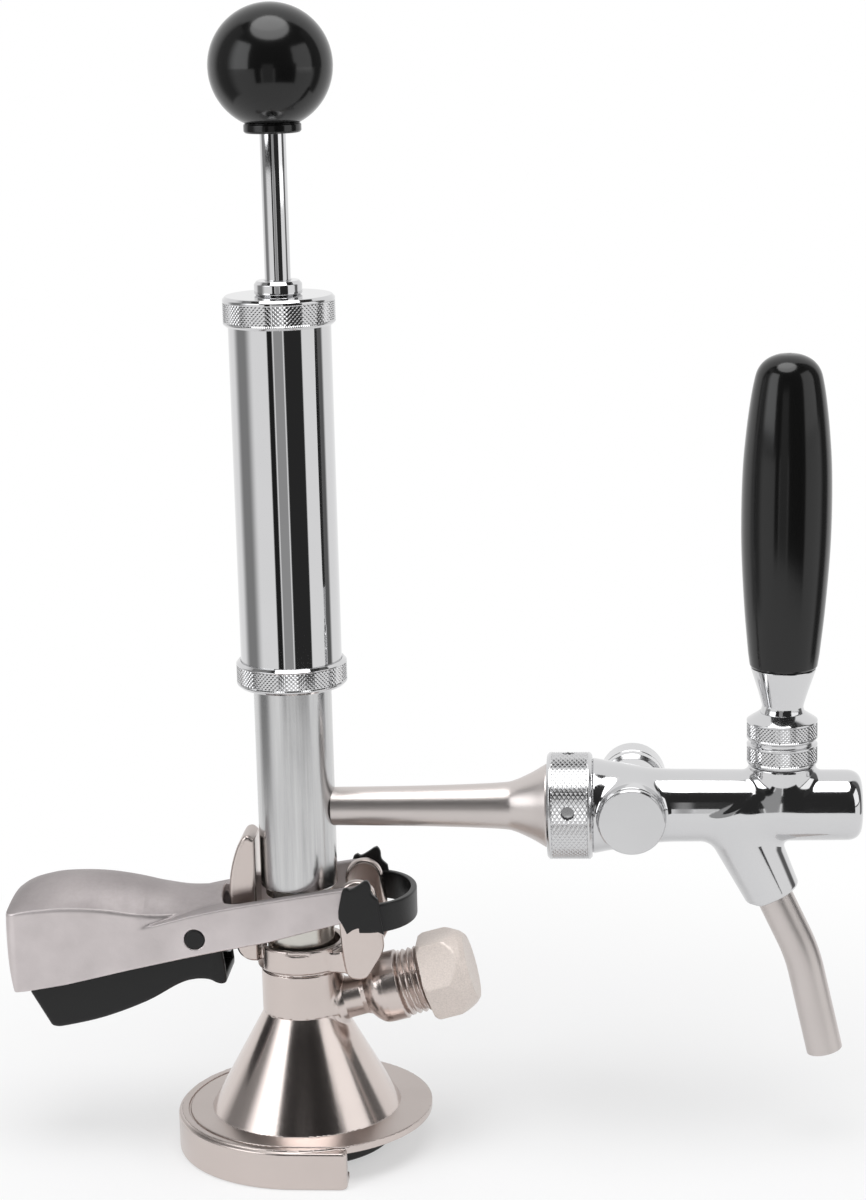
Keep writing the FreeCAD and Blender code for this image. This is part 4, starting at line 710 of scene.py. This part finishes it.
def coupler_handle_solid(x, y, z):
    ay = np.abs(y)
    share, side, crown = (through(x, grip_places, values) for values in grip_shares)
    half = 10 + 7.5 * share
    top, slant = grip_top(y, np.minimum(half, grip_half), side, crown)
    # Palm and fork, with rounded corners and a bow at the rear
    palm = overlap((z - top) / slant, np.maximum(ay - half, x - heel_x), 1.0)
    outer = smooth_join(palm, from_outline(x, z, fork_outline), 0.9)
    behind, beside = rear_x + corner_radius - x, ay - grip_half + corner_radius
    corner = np.hypot(np.maximum(behind, 0), np.maximum(beside, 0)) - corner_radius
    end = np.where((behind > 0) & (beside > 0), corner, np.maximum(rear_x - x, ay - grip_half))
    bow = np.hypot(x - rear_x - rear_bow, z - 79.4) - rear_bow
    low = np.interp(x, *zip(*lower_line)) + hinge_z
    outer = overlap(overlap(outer, overlap(end, bow, 1.0), 0.9), (low - z) * 0.98, 0.8)
    # Hollow under the palm and between the arms
    across = np.minimum(half, grip_half) - wall
    inner = overlap((z - top + wall) / slant, np.maximum(ay - across, rear_x + wall - x), 1.0)
    inner = overlap(inner, x - heel_x, 0.5)
    ledge = np.interp(x, *zip(*ledge_line)) + hinge_z
    inner_fork = overlap(overlap(z - ledge, ay - fork_half, 0.8), slab(x, -62, -19.7), 0.8)
    slot = overlap(heel_x - 1 - x, ay - fork_half, 10.0)
    solid = without(outer, np.minimum(np.minimum(inner, inner_fork), slot), 0.5)
    # Bores for the trigger's pin and the hinge pins
    solid = without(solid, np.hypot(x - trigger_x, z - trigger_z) - 3.42, 0.5)
    return without(solid, np.hypot(x - hinge_x, z - hinge_z) - 3.06, 0.3)


handle = cast("fork_casting", coupler_handle_solid, (-100.5, -18.5, 58), (28, 18.5, 98.5), 0.5, cast_zinc)
fitted(handle, "fork_handle", "cast_zinc", "coupler_handle")
dressed(plain_steel, "hinge_pins", "drive_pins")


# Trigger and its pin
# Moulded black nylon lever under the grip, hollow above, with a curved edge for the
# fingers. It turns on a black pin against a torsion spring, and a steel pawl in its nose
# reaches for the locking fin.
black_plastic = moulded("black_plastic", srgb(16, 16, 17), srgb(26, 26, 26), 0.6, 1300.0, 0.010, 0.31, 0.1,
                        specular=0.36)
trigger_edge = curve_through([(-52.0, -33.0), (-50.6, -33.7), (-46.8, -33.5), (-33.2, -30.3),
                              (-18.4, -24.6), (-7.3, -18.4), (-1.5, -16.6), (3.3, -16.7), (6.0, -18.0),
                              (8.0, -18.4), (9.3, -17.2), (9.0, -12.0), (8.3, -7.2), (7.6, -2.4)], 5)
trigger_edge += [(2.8, 2.8), (0, 3.9), (-2.8, 2.8), (-11.8, -2.4), (-51.8, -12.6), (-57.8, -18.6),
                 (-58.6, -21.2)]
trigger_room = [(-47.8, -28.6), (-41.8, -28.2), (-21.8, -22.6), (-8.8, -14.6), (-8.8, 10), (-53.8, 10),
                (-53.8, -20.1)]


def trigger_solid(x, y, z):
    x, z = x - trigger_x, z - trigger_z
    ay = np.abs(y)
    lever = overlap(from_outline(x, z, trigger_edge), ay - 11.5 + np.maximum(x - 5, 0) * 0.2, 1.8)
    lever = without(lever, overlap(from_outline(x, z, trigger_room), ay - 9.1, 0.5), 0.8)
    coil_room = np.maximum(np.maximum(slab(x, -3.7, 3.7), ay - 3.2), -3.7 - z)
    slot = np.maximum(np.maximum(5 - x, ay - 5), slab(z, -8.5, 0.4))
    scoop = overlap(np.maximum(5.6 - x, ay - 9.0), slab(z, -15.6, -2.8), 0.5)
    lever = without(without(lever, np.minimum(coil_room, slot), 0.3), scoop, 0.6)
    return without(lever, np.hypot(x, z) - 2.25, 0.2)


trigger = cast("trigger_moulding", trigger_solid, (-93, -12.5, 43.5), (-22.5, 12.5, 84), 0.5, black_plastic)
fitted(trigger, "trigger", "black_plastic", "trigger_lever")
pin_way = straight((trigger_x, 0, trigger_z), (0, 1, 0), (1, 0, 0))
pin = turned("trigger_pivot", [(0, -17.5), (3.38, -17.5, 0.5), (3.38, -14.3), (2.2, -14.3), (2.2, 14.3),
                               (3.38, 14.3), (3.38, 17.5, 0.5), (0, 17.5)], black_plastic, pin_way)
fitted(pin, "fork_handle", "black_plastic", "trigger_pin")
satin_steel = metal("satin_steel", srgb(188, 188, 190), 0.30, 0.1, 1000.0, 0.006,
                    stretch=(20, 1, 1), cloud=0.1)
dressed(satin_steel, "latch_pawl", "trigger_spring")

# Hinge clip
# A sprung band of moulded black nylon round the tap side of the hinge. Its two ears snap
# over the ends of the hinge pins and keep them in.
ear_outline = [(28.6, 93.5)]
for corners, steps in (([(26.6, 95.6), (26.2, 98.4), (25.2, 100.0), (24.0, 99.8)], 4),
                       ([(21.4, 98.0), (19.4, 97.0), (18.2, 97.6)], 4),
                       ([(16.8, 96.6), (15.9, 93.0), (15.2, 89.4), (15.2, 86.6)], 4),
                       ([(16.6, 84.2), (17.9, 81.2)], 3),
                       ([(20.3, 82.9), (23.4, 83.5), (26.6, 82.7), (30.4, 81.1)], 4)):
    ear_outline += curve_through(ear_outline[-1:] + corners, steps)[1:]
band_start, band_reach, band_half, band_wall = 24.5, 15.6, 20.0, 2.2


def clip_solid(x, y, z):
    ay = np.abs(y)
    ear = overlap(from_outline(x, z, ear_outline), slab(ay, 17.8, 20.0), 0.7)
    run = np.maximum(x - band_start, 0)
    outer, inner = ((np.hypot(run / (band_reach - skin), y / (band_half - skin)) - 1) * (17.6 - skin)
                    for skin in (0, band_wall))
    band = overlap(overlap(outer, -inner, 0.6), slab(z, 81.7, 91.7), 0.7)
    return np.minimum(ear, np.maximum(band, 22.0 - x))


clip = cast("pin_clip", clip_solid, (13, -21.5, 78), (42, 21.5, 101.5), 0.36, black_plastic)
fitted(clip, "coupler_base", "black_plastic", "hinge_clip")


# Column and its ring
# A chromed tube, polished less finely than the barrel, screwed on the probe. Its top spigot
# carries the knurled ring that holds the barrel's foot, with the drilled valve seat in it.
def chrome(name, rough, wipe, colour=srgb(210, 210, 211), drawn=(1, 1, 60), streaks=0.0):
    """Polished chrome. ``wipe`` is how far handling has dulled it in patches, ``drawn`` the
    way its polishing lines run, and ``streaks`` how dark they are."""
    def surface(root):
        place = root.node("TexCoord", output="Object")
        smear = root.node("TexNoise", inputs={"Vector": place, "Scale": 45.0, "Detail": 4.0,
                                              "Roughness": 0.6})
        run = root.node("Mapping", inputs={"Vector": place, "Scale": drawn})
        lines = root.node("TexNoise", inputs={"Vector": run, "Scale": 90.0, "Detail": 4.0})
        tone = root.mix(smear * 0.10 + lines * streaks, colour, srgb(150, 150, 152))
        return root.node("BsdfPrincipled", inputs={
            "Base Color": tone, "Metallic": 1.0, "Roughness": rough + smear * lines * wipe})
    return finish(name, surface)


def knurl(count, bands, depth):
    """Diamond knurl in bands of (low, high, pitch): points left by two crossing grooves."""
    edge = 0.001

    def relief(angle, height, radius):
        sunk = np.zeros(len(angle))
        for low, high, pitch in bands:
            if low + edge < height < high - edge:
                u, v = angle * count / (2 * math.pi), (height - low) / pitch
                sunk = depth * (1 - np.minimum(*(2 * np.abs(a - np.round(a)) for a in (u + v, u - v))))
        return sunk
    return relief


def band_rows(radius, low, high, pitch, share=4):
    """Outline rows that carry a knurl: ``share`` rows to a point."""
    count = int(round((high - low) / pitch * share))
    return [(radius, low + (high - low) * k / count) for k in range(count + 1)]


soft_chrome = chrome("soft_chrome", 0.15, 0.20, srgb(216, 216, 216), drawn=(9, 9, 0.25), streaks=0.55)
column = turned("column_tube", [(10.5, 92.9), (12.3, 92.9), (13.1, 93.7), (13.1, 163.4), (12.6, 163.4),
                                (12.6, 167.8), (10.5, 167.8)], soft_chrome)
fitted(column, "pump_assembly", "soft_chrome", "pump_column")
mirror_chrome = chrome("mirror_chrome", 0.05, 0.05)
ring_band, rim_points, rim_depth = (164.7, 171.0, 1.4), 83, 0.34
ring_corners = [(12.62, 163.4), (17.7, 163.4), (18.55, 164.3, 0.5)] + band_rows(18.55, *ring_band)
ring_corners += [(18.55, 171.2, 0.5), (17.7, 172.1), (16.97, 172.1), (16.97, 168.5), (10.5, 168.5),
                 (10.5, 167.82), (12.62, 167.82)]
ring = turned("knurled_ring", ring_corners, mirror_chrome, sides=4 * rim_points,
              relief=knurl(rim_points, [ring_band], rim_depth))
fitted(ring, "pump_assembly", "mirror_chrome", "column_ring")
plain_brass = metal("plain_brass", srgb(196, 168, 104), 0.26, 0.08, 900.0, 0.006,
                    stretch=(1, 1, 20), cloud=0.15)
dressed(plain_brass, "valve_seat")
dressed(black_rubber, "air_check_valve")

# Pump barrel and cap
# Drawn tube with a mirror finish. The knurled cap screws on its top, and the small gland
# nut in the cap holds the packing round the rod.
barrel_chrome = chrome("barrel_chrome", 0.025, 0.03)
barrel = turned("barrel_tube", [(15.45, 168.5), (16.95, 168.5), (16.95, 289.9), (15.45, 289.9)],
                barrel_chrome, sides=160)
fitted(barrel, "pump_assembly", "barrel_chrome", "pump_barrel")
cap_band = (285.5, 292.5, 1.4)
cap_corners = [(4.3, 285.1), (8.6, 285.1), (8.6, 291.1), (16.97, 291.1), (16.97, 284.4), (17.7, 284.4),
               (18.5, 285.2, 0.5)] + band_rows(18.5, *cap_band)
cap_corners += [(18.5, 293.2, 0.6), (17.6, 294.2, 0.6), (6.02, 294.2), (6.02, 286.6), (4.3, 286.6)]
cap = turned("knurled_cap", cap_corners, mirror_chrome, sides=4 * rim_points,
             relief=knurl(rim_points, [cap_band], rim_depth))
fitted(cap, "pump_assembly", "mirror_chrome", "pump_cap")
gland = turned("gland_collar", [(4.3, 290.6), (6.0, 290.6), (6.0, 294.2), (7.3, 294.2), (7.9, 294.8),
                                (7.9, 297.8, 0.4), (7.0, 298.9), (4.8, 298.9), (4.3, 298.4)], mirror_chrome)
fitted(gland, "pump_assembly", "mirror_chrome", "gland_nut")
dressed(black_rubber, "barrel_seal", "gland_seal")

# Piston, rod and ball knob
# A chromed steel rod with the piston's cup between two washers at its foot. The black
# ball is moulded phenolic: glossy, with the faint line of its mould just below the middle.
rod_chrome = chrome("rod_chrome", 0.03, 0.04)
rod = turned("plunger_rod", [(0, 226), (4.25, 226), (4.25, 356.5), (0, 356.5)], rod_chrome, sides=64)
fitted(rod, "piston", "rod_chrome", "pump_rod")


def moulded_phenolic(root):
    """Deep gloss with a slight orange peel, dulled in patches by hands."""
    place = root.node("TexCoord", output="Object")
    peel = root.node("TexNoise", inputs={"Vector": place, "Scale": 260.0, "Detail": 1.0})
    smear = root.node("TexNoise", inputs={"Vector": place, "Scale": 40.0, "Detail": 4.0})
    normal = root.node("Bump", inputs={"Strength": 1.0, "Distance": 0.0016 * mm, "Height": peel})
    return root.node("BsdfPrincipled", inputs={"Base Color": srgb(16, 16, 16), "Normal": normal,
                                               "Specular IOR Level": 0.42,
                                               "Roughness": 0.13 + smear * smear * 0.06})


phenolic = finish("gloss_black", moulded_phenolic)
ball_z, ball_radius = 367.78, 20.2
line_lift, line_width, line_depth = -3.7, 0.9, 0.05
ball_corners = [(4.27, 346.5), (8.8, 346.5, 0.5), (9.4, 347.1, 0.5), (9.4, 349.3, 0.5), (8.8, 349.6)]
for lift in np.arange(-63, 90, 2.0):
    reach = ball_radius - line_depth * math.exp(-((lift - line_lift) / line_width) ** 2)
    ball_corners.append((reach * math.cos(math.radians(lift)), ball_z + reach * math.sin(math.radians(lift))))
ball_corners += [(0, ball_z + ball_radius), (0, 356.52), (4.27, 356.52)]
ball = turned("ball_grip", ball_corners, phenolic, sides=128)
fitted(ball, "piston", "gloss_black", "ball_knob")
dressed(plain_brass, "piston_nut")
dressed(plain_steel, "piston_discs")
dressed(black_rubber, "piston_cup")

# Side arm and union
# A stainless tube brazed in the column's side and flared to a flange. The knurled union
# ring behind the flange draws the tap against its gasket; its four holes take a hook spanner.
satin_arm = metal("satin_arm", srgb(206, 199, 196), 0.33, 0.10, 420.0, 0.006,
                  stretch=(0.25, 12, 12), cloud=0.14)
tap_z = 120.3
along_tap = straight((0, 0, tap_z), (1, 0, 0), (0, -1, 0))
arm_corners = [(4.6, 12.0)] + curve_through([(6.5, 12), (6.6, 25), (6.85, 42), (7.3, 58), (7.9, 70),
                                             (8.7, 74.2), (11.2, 79.8), (14.0, 84.6)], 5)
arm_corners += [(14.0, 85.2), (13.4, 85.2), (13.4, 88.6), (15.6, 88.6), (15.6, 91.6), (4.0, 91.6),
                (4.0, 20.1), (4.6, 20.1)]
arm = turned("side_tube", arm_corners, satin_arm, along_tap)
fitted(arm, "pump_assembly", "satin_steel", "side_arm")
union_band, union_count = (86.7, 98.9, 1.525), 48
union_points = knurl(union_count, [union_band], 0.42)
hole_count, hole_turn, hole_x, hole_radius, hole_depth = 4, math.radians(7.5), 92.4, 2.1, 3.2


def union_relief(angle, height, radius):
    """The union's knurl, and the four drilled holes."""
    sunk = union_points(angle, height, radius)
    for k in range(hole_count):
        hole_angle = 2 * math.pi * k / hole_count + hole_turn
        aside = (angle + hole_angle + math.pi) % (2 * math.pi) - math.pi
        sunk = np.where(np.hypot(aside * radius, height - hole_x) < hole_radius, hole_depth, sunk)
    return sunk


satin_chrome = chrome("satin_chrome", 0.16, 0.08)
union_corners = [(13.5, 85.2), (17.2, 85.2), (18, 86.0, 0.5)] + band_rows(18, *union_band, 8)
union_corners += [(18, 99.4, 0.5), (17.2, 100.2), (15.8, 100.2), (15.8, 88.6), (13.5, 88.6)]
union = turned("union_ring", union_corners, satin_chrome, along_tap, sides=8 * union_count,
               relief=union_relief)
fitted(union, "pump_assembly", "mirror_chrome", "union_collar")
dressed(black_rubber, "union_gasket")

# Tap body
# A chromed brass casting, polished until its edges are soft: a bell that waists into the
# barrel, the two cross bosses, the slanted spout socket and the boss for the lever.
tap_chrome = chrome("tap_chrome", 0.075, 0.04)
flow_x, socket_x, valve_x = 113.5, 146.3, 163.65
socket_reach, spout_lean, boss_front = 34.6, math.radians(25), 16.6
bonnet_seat, lever_pivot = 14.4, 22.7
tap_places = np.array([90.0, 101, 105, 109.7, 116, 123.2, 135, 160, 187, 195])
tap_radii = np.array([16.3, 16.0, 15.25, 14.5, 13.3, 12.45, 12.2, 12.0, 11.8, 11.75])
tap_bore = [(0, 93), (8, 93), (8, 133.65), (5, 133.65), (5, 137.65), (6.5, 137.65), (6.5, 149.05),
            (4.6, 149.05), (4.6, 153.25), (6.4, 153.25), (6.4, 170.25), (4.6, 170.25), (4.6, 186.2),
            (0, 186.2)]
finger_room = [(154.65, tap_z), (166.85, tap_z), (166.85, 140.5), (159.75, 140.5)]


def tap_solid(x, y, z):
    height = z - tap_z
    q = np.hypot(y, height)
    # Bell and barrel in one, and the thread that the union grips
    barrel = overlap((q - through(x, tap_places, tap_radii)) * 0.985, x - 190.2, 5.4)
    barrel = overlap(barrel, 100.4 - x, 0.8)
    thread = overlap(q - 15.7, slab(x, 93.6, 101.0), 0.5)
    # Cross bosses for the flow control
    cross = np.hypot(x - flow_x, height)
    front = overlap(cross - 11.0, slab(y, -boss_front, 0), 0.6)
    back = overlap(cross - 10.4, slab(y, 0, 22.5), 0.8)
    # Spout socket, along s down its slant and w out from it
    s = (x - socket_x) * math.sin(spout_lean) - height * math.cos(spout_lean)
    w = np.hypot(y, (x - socket_x) * math.cos(spout_lean) + height * math.sin(spout_lean))
    socket = overlap(w - (11.5 - (s - 6) * 0.0766), slab(s, 0, socket_reach), 1.4)
    # Boss for the lever, with the spigot that the bonnet screws on
    post = np.hypot(x - valve_x, y)
    boss = overlap(post - 11.1, slab(height, 0, bonnet_seat), 0.7)
    spigot = np.maximum(post - 9.15, slab(height, 14.2, 20.2))
    solid = smooth_join(smooth_join(barrel, front, 2.2), back, 2.2)
    solid = smooth_join(smooth_join(solid, socket, 3.4), boss, 2.6)
    solid = np.minimum(np.minimum(solid, thread), spigot)
    # Rooms for the beer, the lever's ball and finger, the spindle and the spout
    rooms = np.minimum(from_outline(q, x, tap_bore), np.hypot(post, height - lever_pivot) - 7.1)
    rooms = np.minimum(rooms, np.maximum(from_outline(x, z, finger_room), np.abs(y) - 2.9))
    rooms = np.minimum(rooms, np.maximum(cross - 4.05, 5 - y))
    rooms = np.minimum(rooms, np.maximum(w - 6.14, 24.6 - s))
    return without(solid, rooms, 0.25)


tap = cast("tap_casting", tap_solid, (93, -17.5, 87), (191.5, 23.5, 141.5), 0.5, tap_chrome)
fitted(tap, "pump_assembly", "tap_chrome", "tap_body")
cover = turned("boss_cover", [(0, 0), (10.7, 0), (11.2, 0.5), (11.2, 1.9, 0.5), (10.7, 2.5, 0.3), (0, 2.5)],
               satin_chrome, straight((flow_x, -boss_front, tap_z - 0.4), (0, -1, 0), (0, 0, 1)))
fitted(cover, "pump_assembly", "tap_chrome", "compensator_cover")

# Flow control
# A chromed knob on the back boss turns a spindle whose eccentric pin moves the tapered
# plug in the tap's inlet, which sets how fast the beer runs.
knob_corners = [(4.02, 22.8), (9.9, 22.8), (11.3, 24.0, 0.5), (11.3, 27.6), (11.0, 27.9), (11.0, 28.5),
                (11.3, 28.8), (11.4, 37.8, 0.8), (10.4, 38.8, 0.8), (0, 38.8), (0, 34.8), (4.02, 34.8)]
knob = turned("control_knob", knob_corners, satin_chrome, straight((flow_x, 0, tap_z), (0, 1, 0), (1, 0, 0)))
fitted(knob, "flow_control", "knob_chrome", "flow_knob")
dressed(plain_steel, "flow_spindle")
white_acetal = moulded("white_acetal", srgb(232, 231, 226), srgb(216, 214, 206), 0.4, 900.0, 0.006, 0.35, 0.1)
dressed(white_acetal, "compensator_plug")

# Spout
# A stainless tube pressed in the tap's socket: a straight run, a gentle bend and a steeper
# run, with its end cut square.
first_run, bend_radius, last_run = 16, 60, 29.2
end_lean = math.radians(12.5)
bend_length = bend_radius * (spout_lean - end_lean)
mouth_x = socket_x + socket_reach * math.sin(spout_lean)
mouth_z = tap_z - socket_reach * math.cos(spout_lean)


def spout_path(height):
    """Down the spout from the socket's mouth: the axis point and the frame there."""
    run = min(height, first_run)
    bent = min(max(height - first_run, 0), bend_length)
    rest = max(height - first_run - bend_length, 0)
    lean = spout_lean - bent / bend_radius
    x = mouth_x + run * math.sin(spout_lean) + bend_radius * (math.cos(lean) - math.cos(spout_lean))
    z = mouth_z - run * math.cos(spout_lean) - bend_radius * (math.sin(spout_lean) - math.sin(lean))
    way, front = np.array((math.sin(lean), 0, -math.cos(lean))), np.array((0, -1, 0))
    return np.array((x, 0, z)) + rest * way, way, front, np.cross(way, front)


spout_end = first_run + bend_length + last_run
steps = [-9.5, 4, 15.5] + list(first_run + np.linspace(0, 1, 13) * bend_length) + [40, 50]
spout_corners = [(5.1, -9.5)] + [(6.1, s) for s in steps] + [(6.1, spout_end), (5.1, spout_end)]
spout_corners += [(5.1, s) for s in steps[:0:-1]]
spout = turned("spout_pipe", spout_corners, satin_arm, spout_path, radius=0.22, sides=72)
fitted(spout, "pump_assembly", "satin_steel", "spout_tube")

# Bonnet nut
# A knurled nut that clamps the lever's ball: two bands of fine points with a smooth groove
# between, and a polished cone on top.
lower_band, upper_band, bonnet_count = (1.4, 6.6, 1.3), (9.6, 14.8, 1.3), 56
bonnet_corners = [(9.17, 0.2), (11.1, 0.2), (11.75, 0.9)] + band_rows(11.75, *lower_band)
bonnet_corners += [(11.75, 7.2), (10.95, 7.7), (10.95, 8.7), (11.75, 9.2)] + band_rows(11.75, *upper_band)
bonnet_corners += [(11.75, 15.3), (11.3, 15.7), (7.7, 18.0), (7.2, 18.0), (5.95, 12.1), (5.95, 8.3),
                   (9.17, 8.3)]
bonnet = turned("bonnet_ring", bonnet_corners, tap_chrome,
                straight((valve_x, 0, tap_z + bonnet_seat), (0, 0, 1), (0, -1, 0)),
                sides=4 * bonnet_count, relief=knurl(bonnet_count, [lower_band, upper_band], 0.40))
fitted(bonnet, "pump_assembly", "tap_chrome", "bonnet_nut")

# Lever and its handle
# The turned stem has a ball held by the bonnet and a finger that moves the valve. A chrome
# cone and the moulded black handle screw on its neck, leaning a degree away from the pump.
lever_lean, cone_top = math.radians(1), 47.5
lever_axis = np.array((math.sin(lever_lean), 0, math.cos(lever_lean)))
lever_foot = np.array((valve_x, 0, tap_z + lever_pivot)) - lever_pivot * lever_axis
along_lever = straight(lever_foot, lever_axis, (0, -1, 0))
cone_corners = [(3.82, 30.4), (7.0, 30.4, 0.4)]
cone_corners += curve_through([(7.6, 31.0), (7.3, 32.6), (6.9, 34.2), (7.2, 35.8), (8.3, 39.6)], 4)
cone_corners += [(10.9, cone_top), (3.82, cone_top)]
ferrule = turned("handle_cone", cone_corners, tap_chrome, along_lever)
fitted(ferrule, "tap_lever", "tap_chrome", "lever_ferrule")
handle_corners = [(3.82, cone_top + 0.02), (10.5, cone_top + 0.02, 0.6), (11.2, 48.5)]
handle_corners += curve_through([(11.8, 52.5), (13.3, 67.8), (14.5, 86.0), (14.8, 100.9), (14.5, 115.0),
                                 (13.6, 126.6), (12.5, 136.0), (11.4, 142.7), (10.2, 146.9), (7.8, 149.9),
                                 (4.2, 151.7), (0.0, 152.3)], 7)
handle_corners += [(0, 52.6), (3.82, 52.6)]
tap_grip = turned("lever_handle", handle_corners, phenolic, along_lever, sides=128)
fitted(tap_grip, "tap_lever", "gloss_black", "tap_handle")
dressed(plain_steel, "lever_stem", "valve_stem")
dressed(black_rubber, "valve_seal", "stem_o_ring")
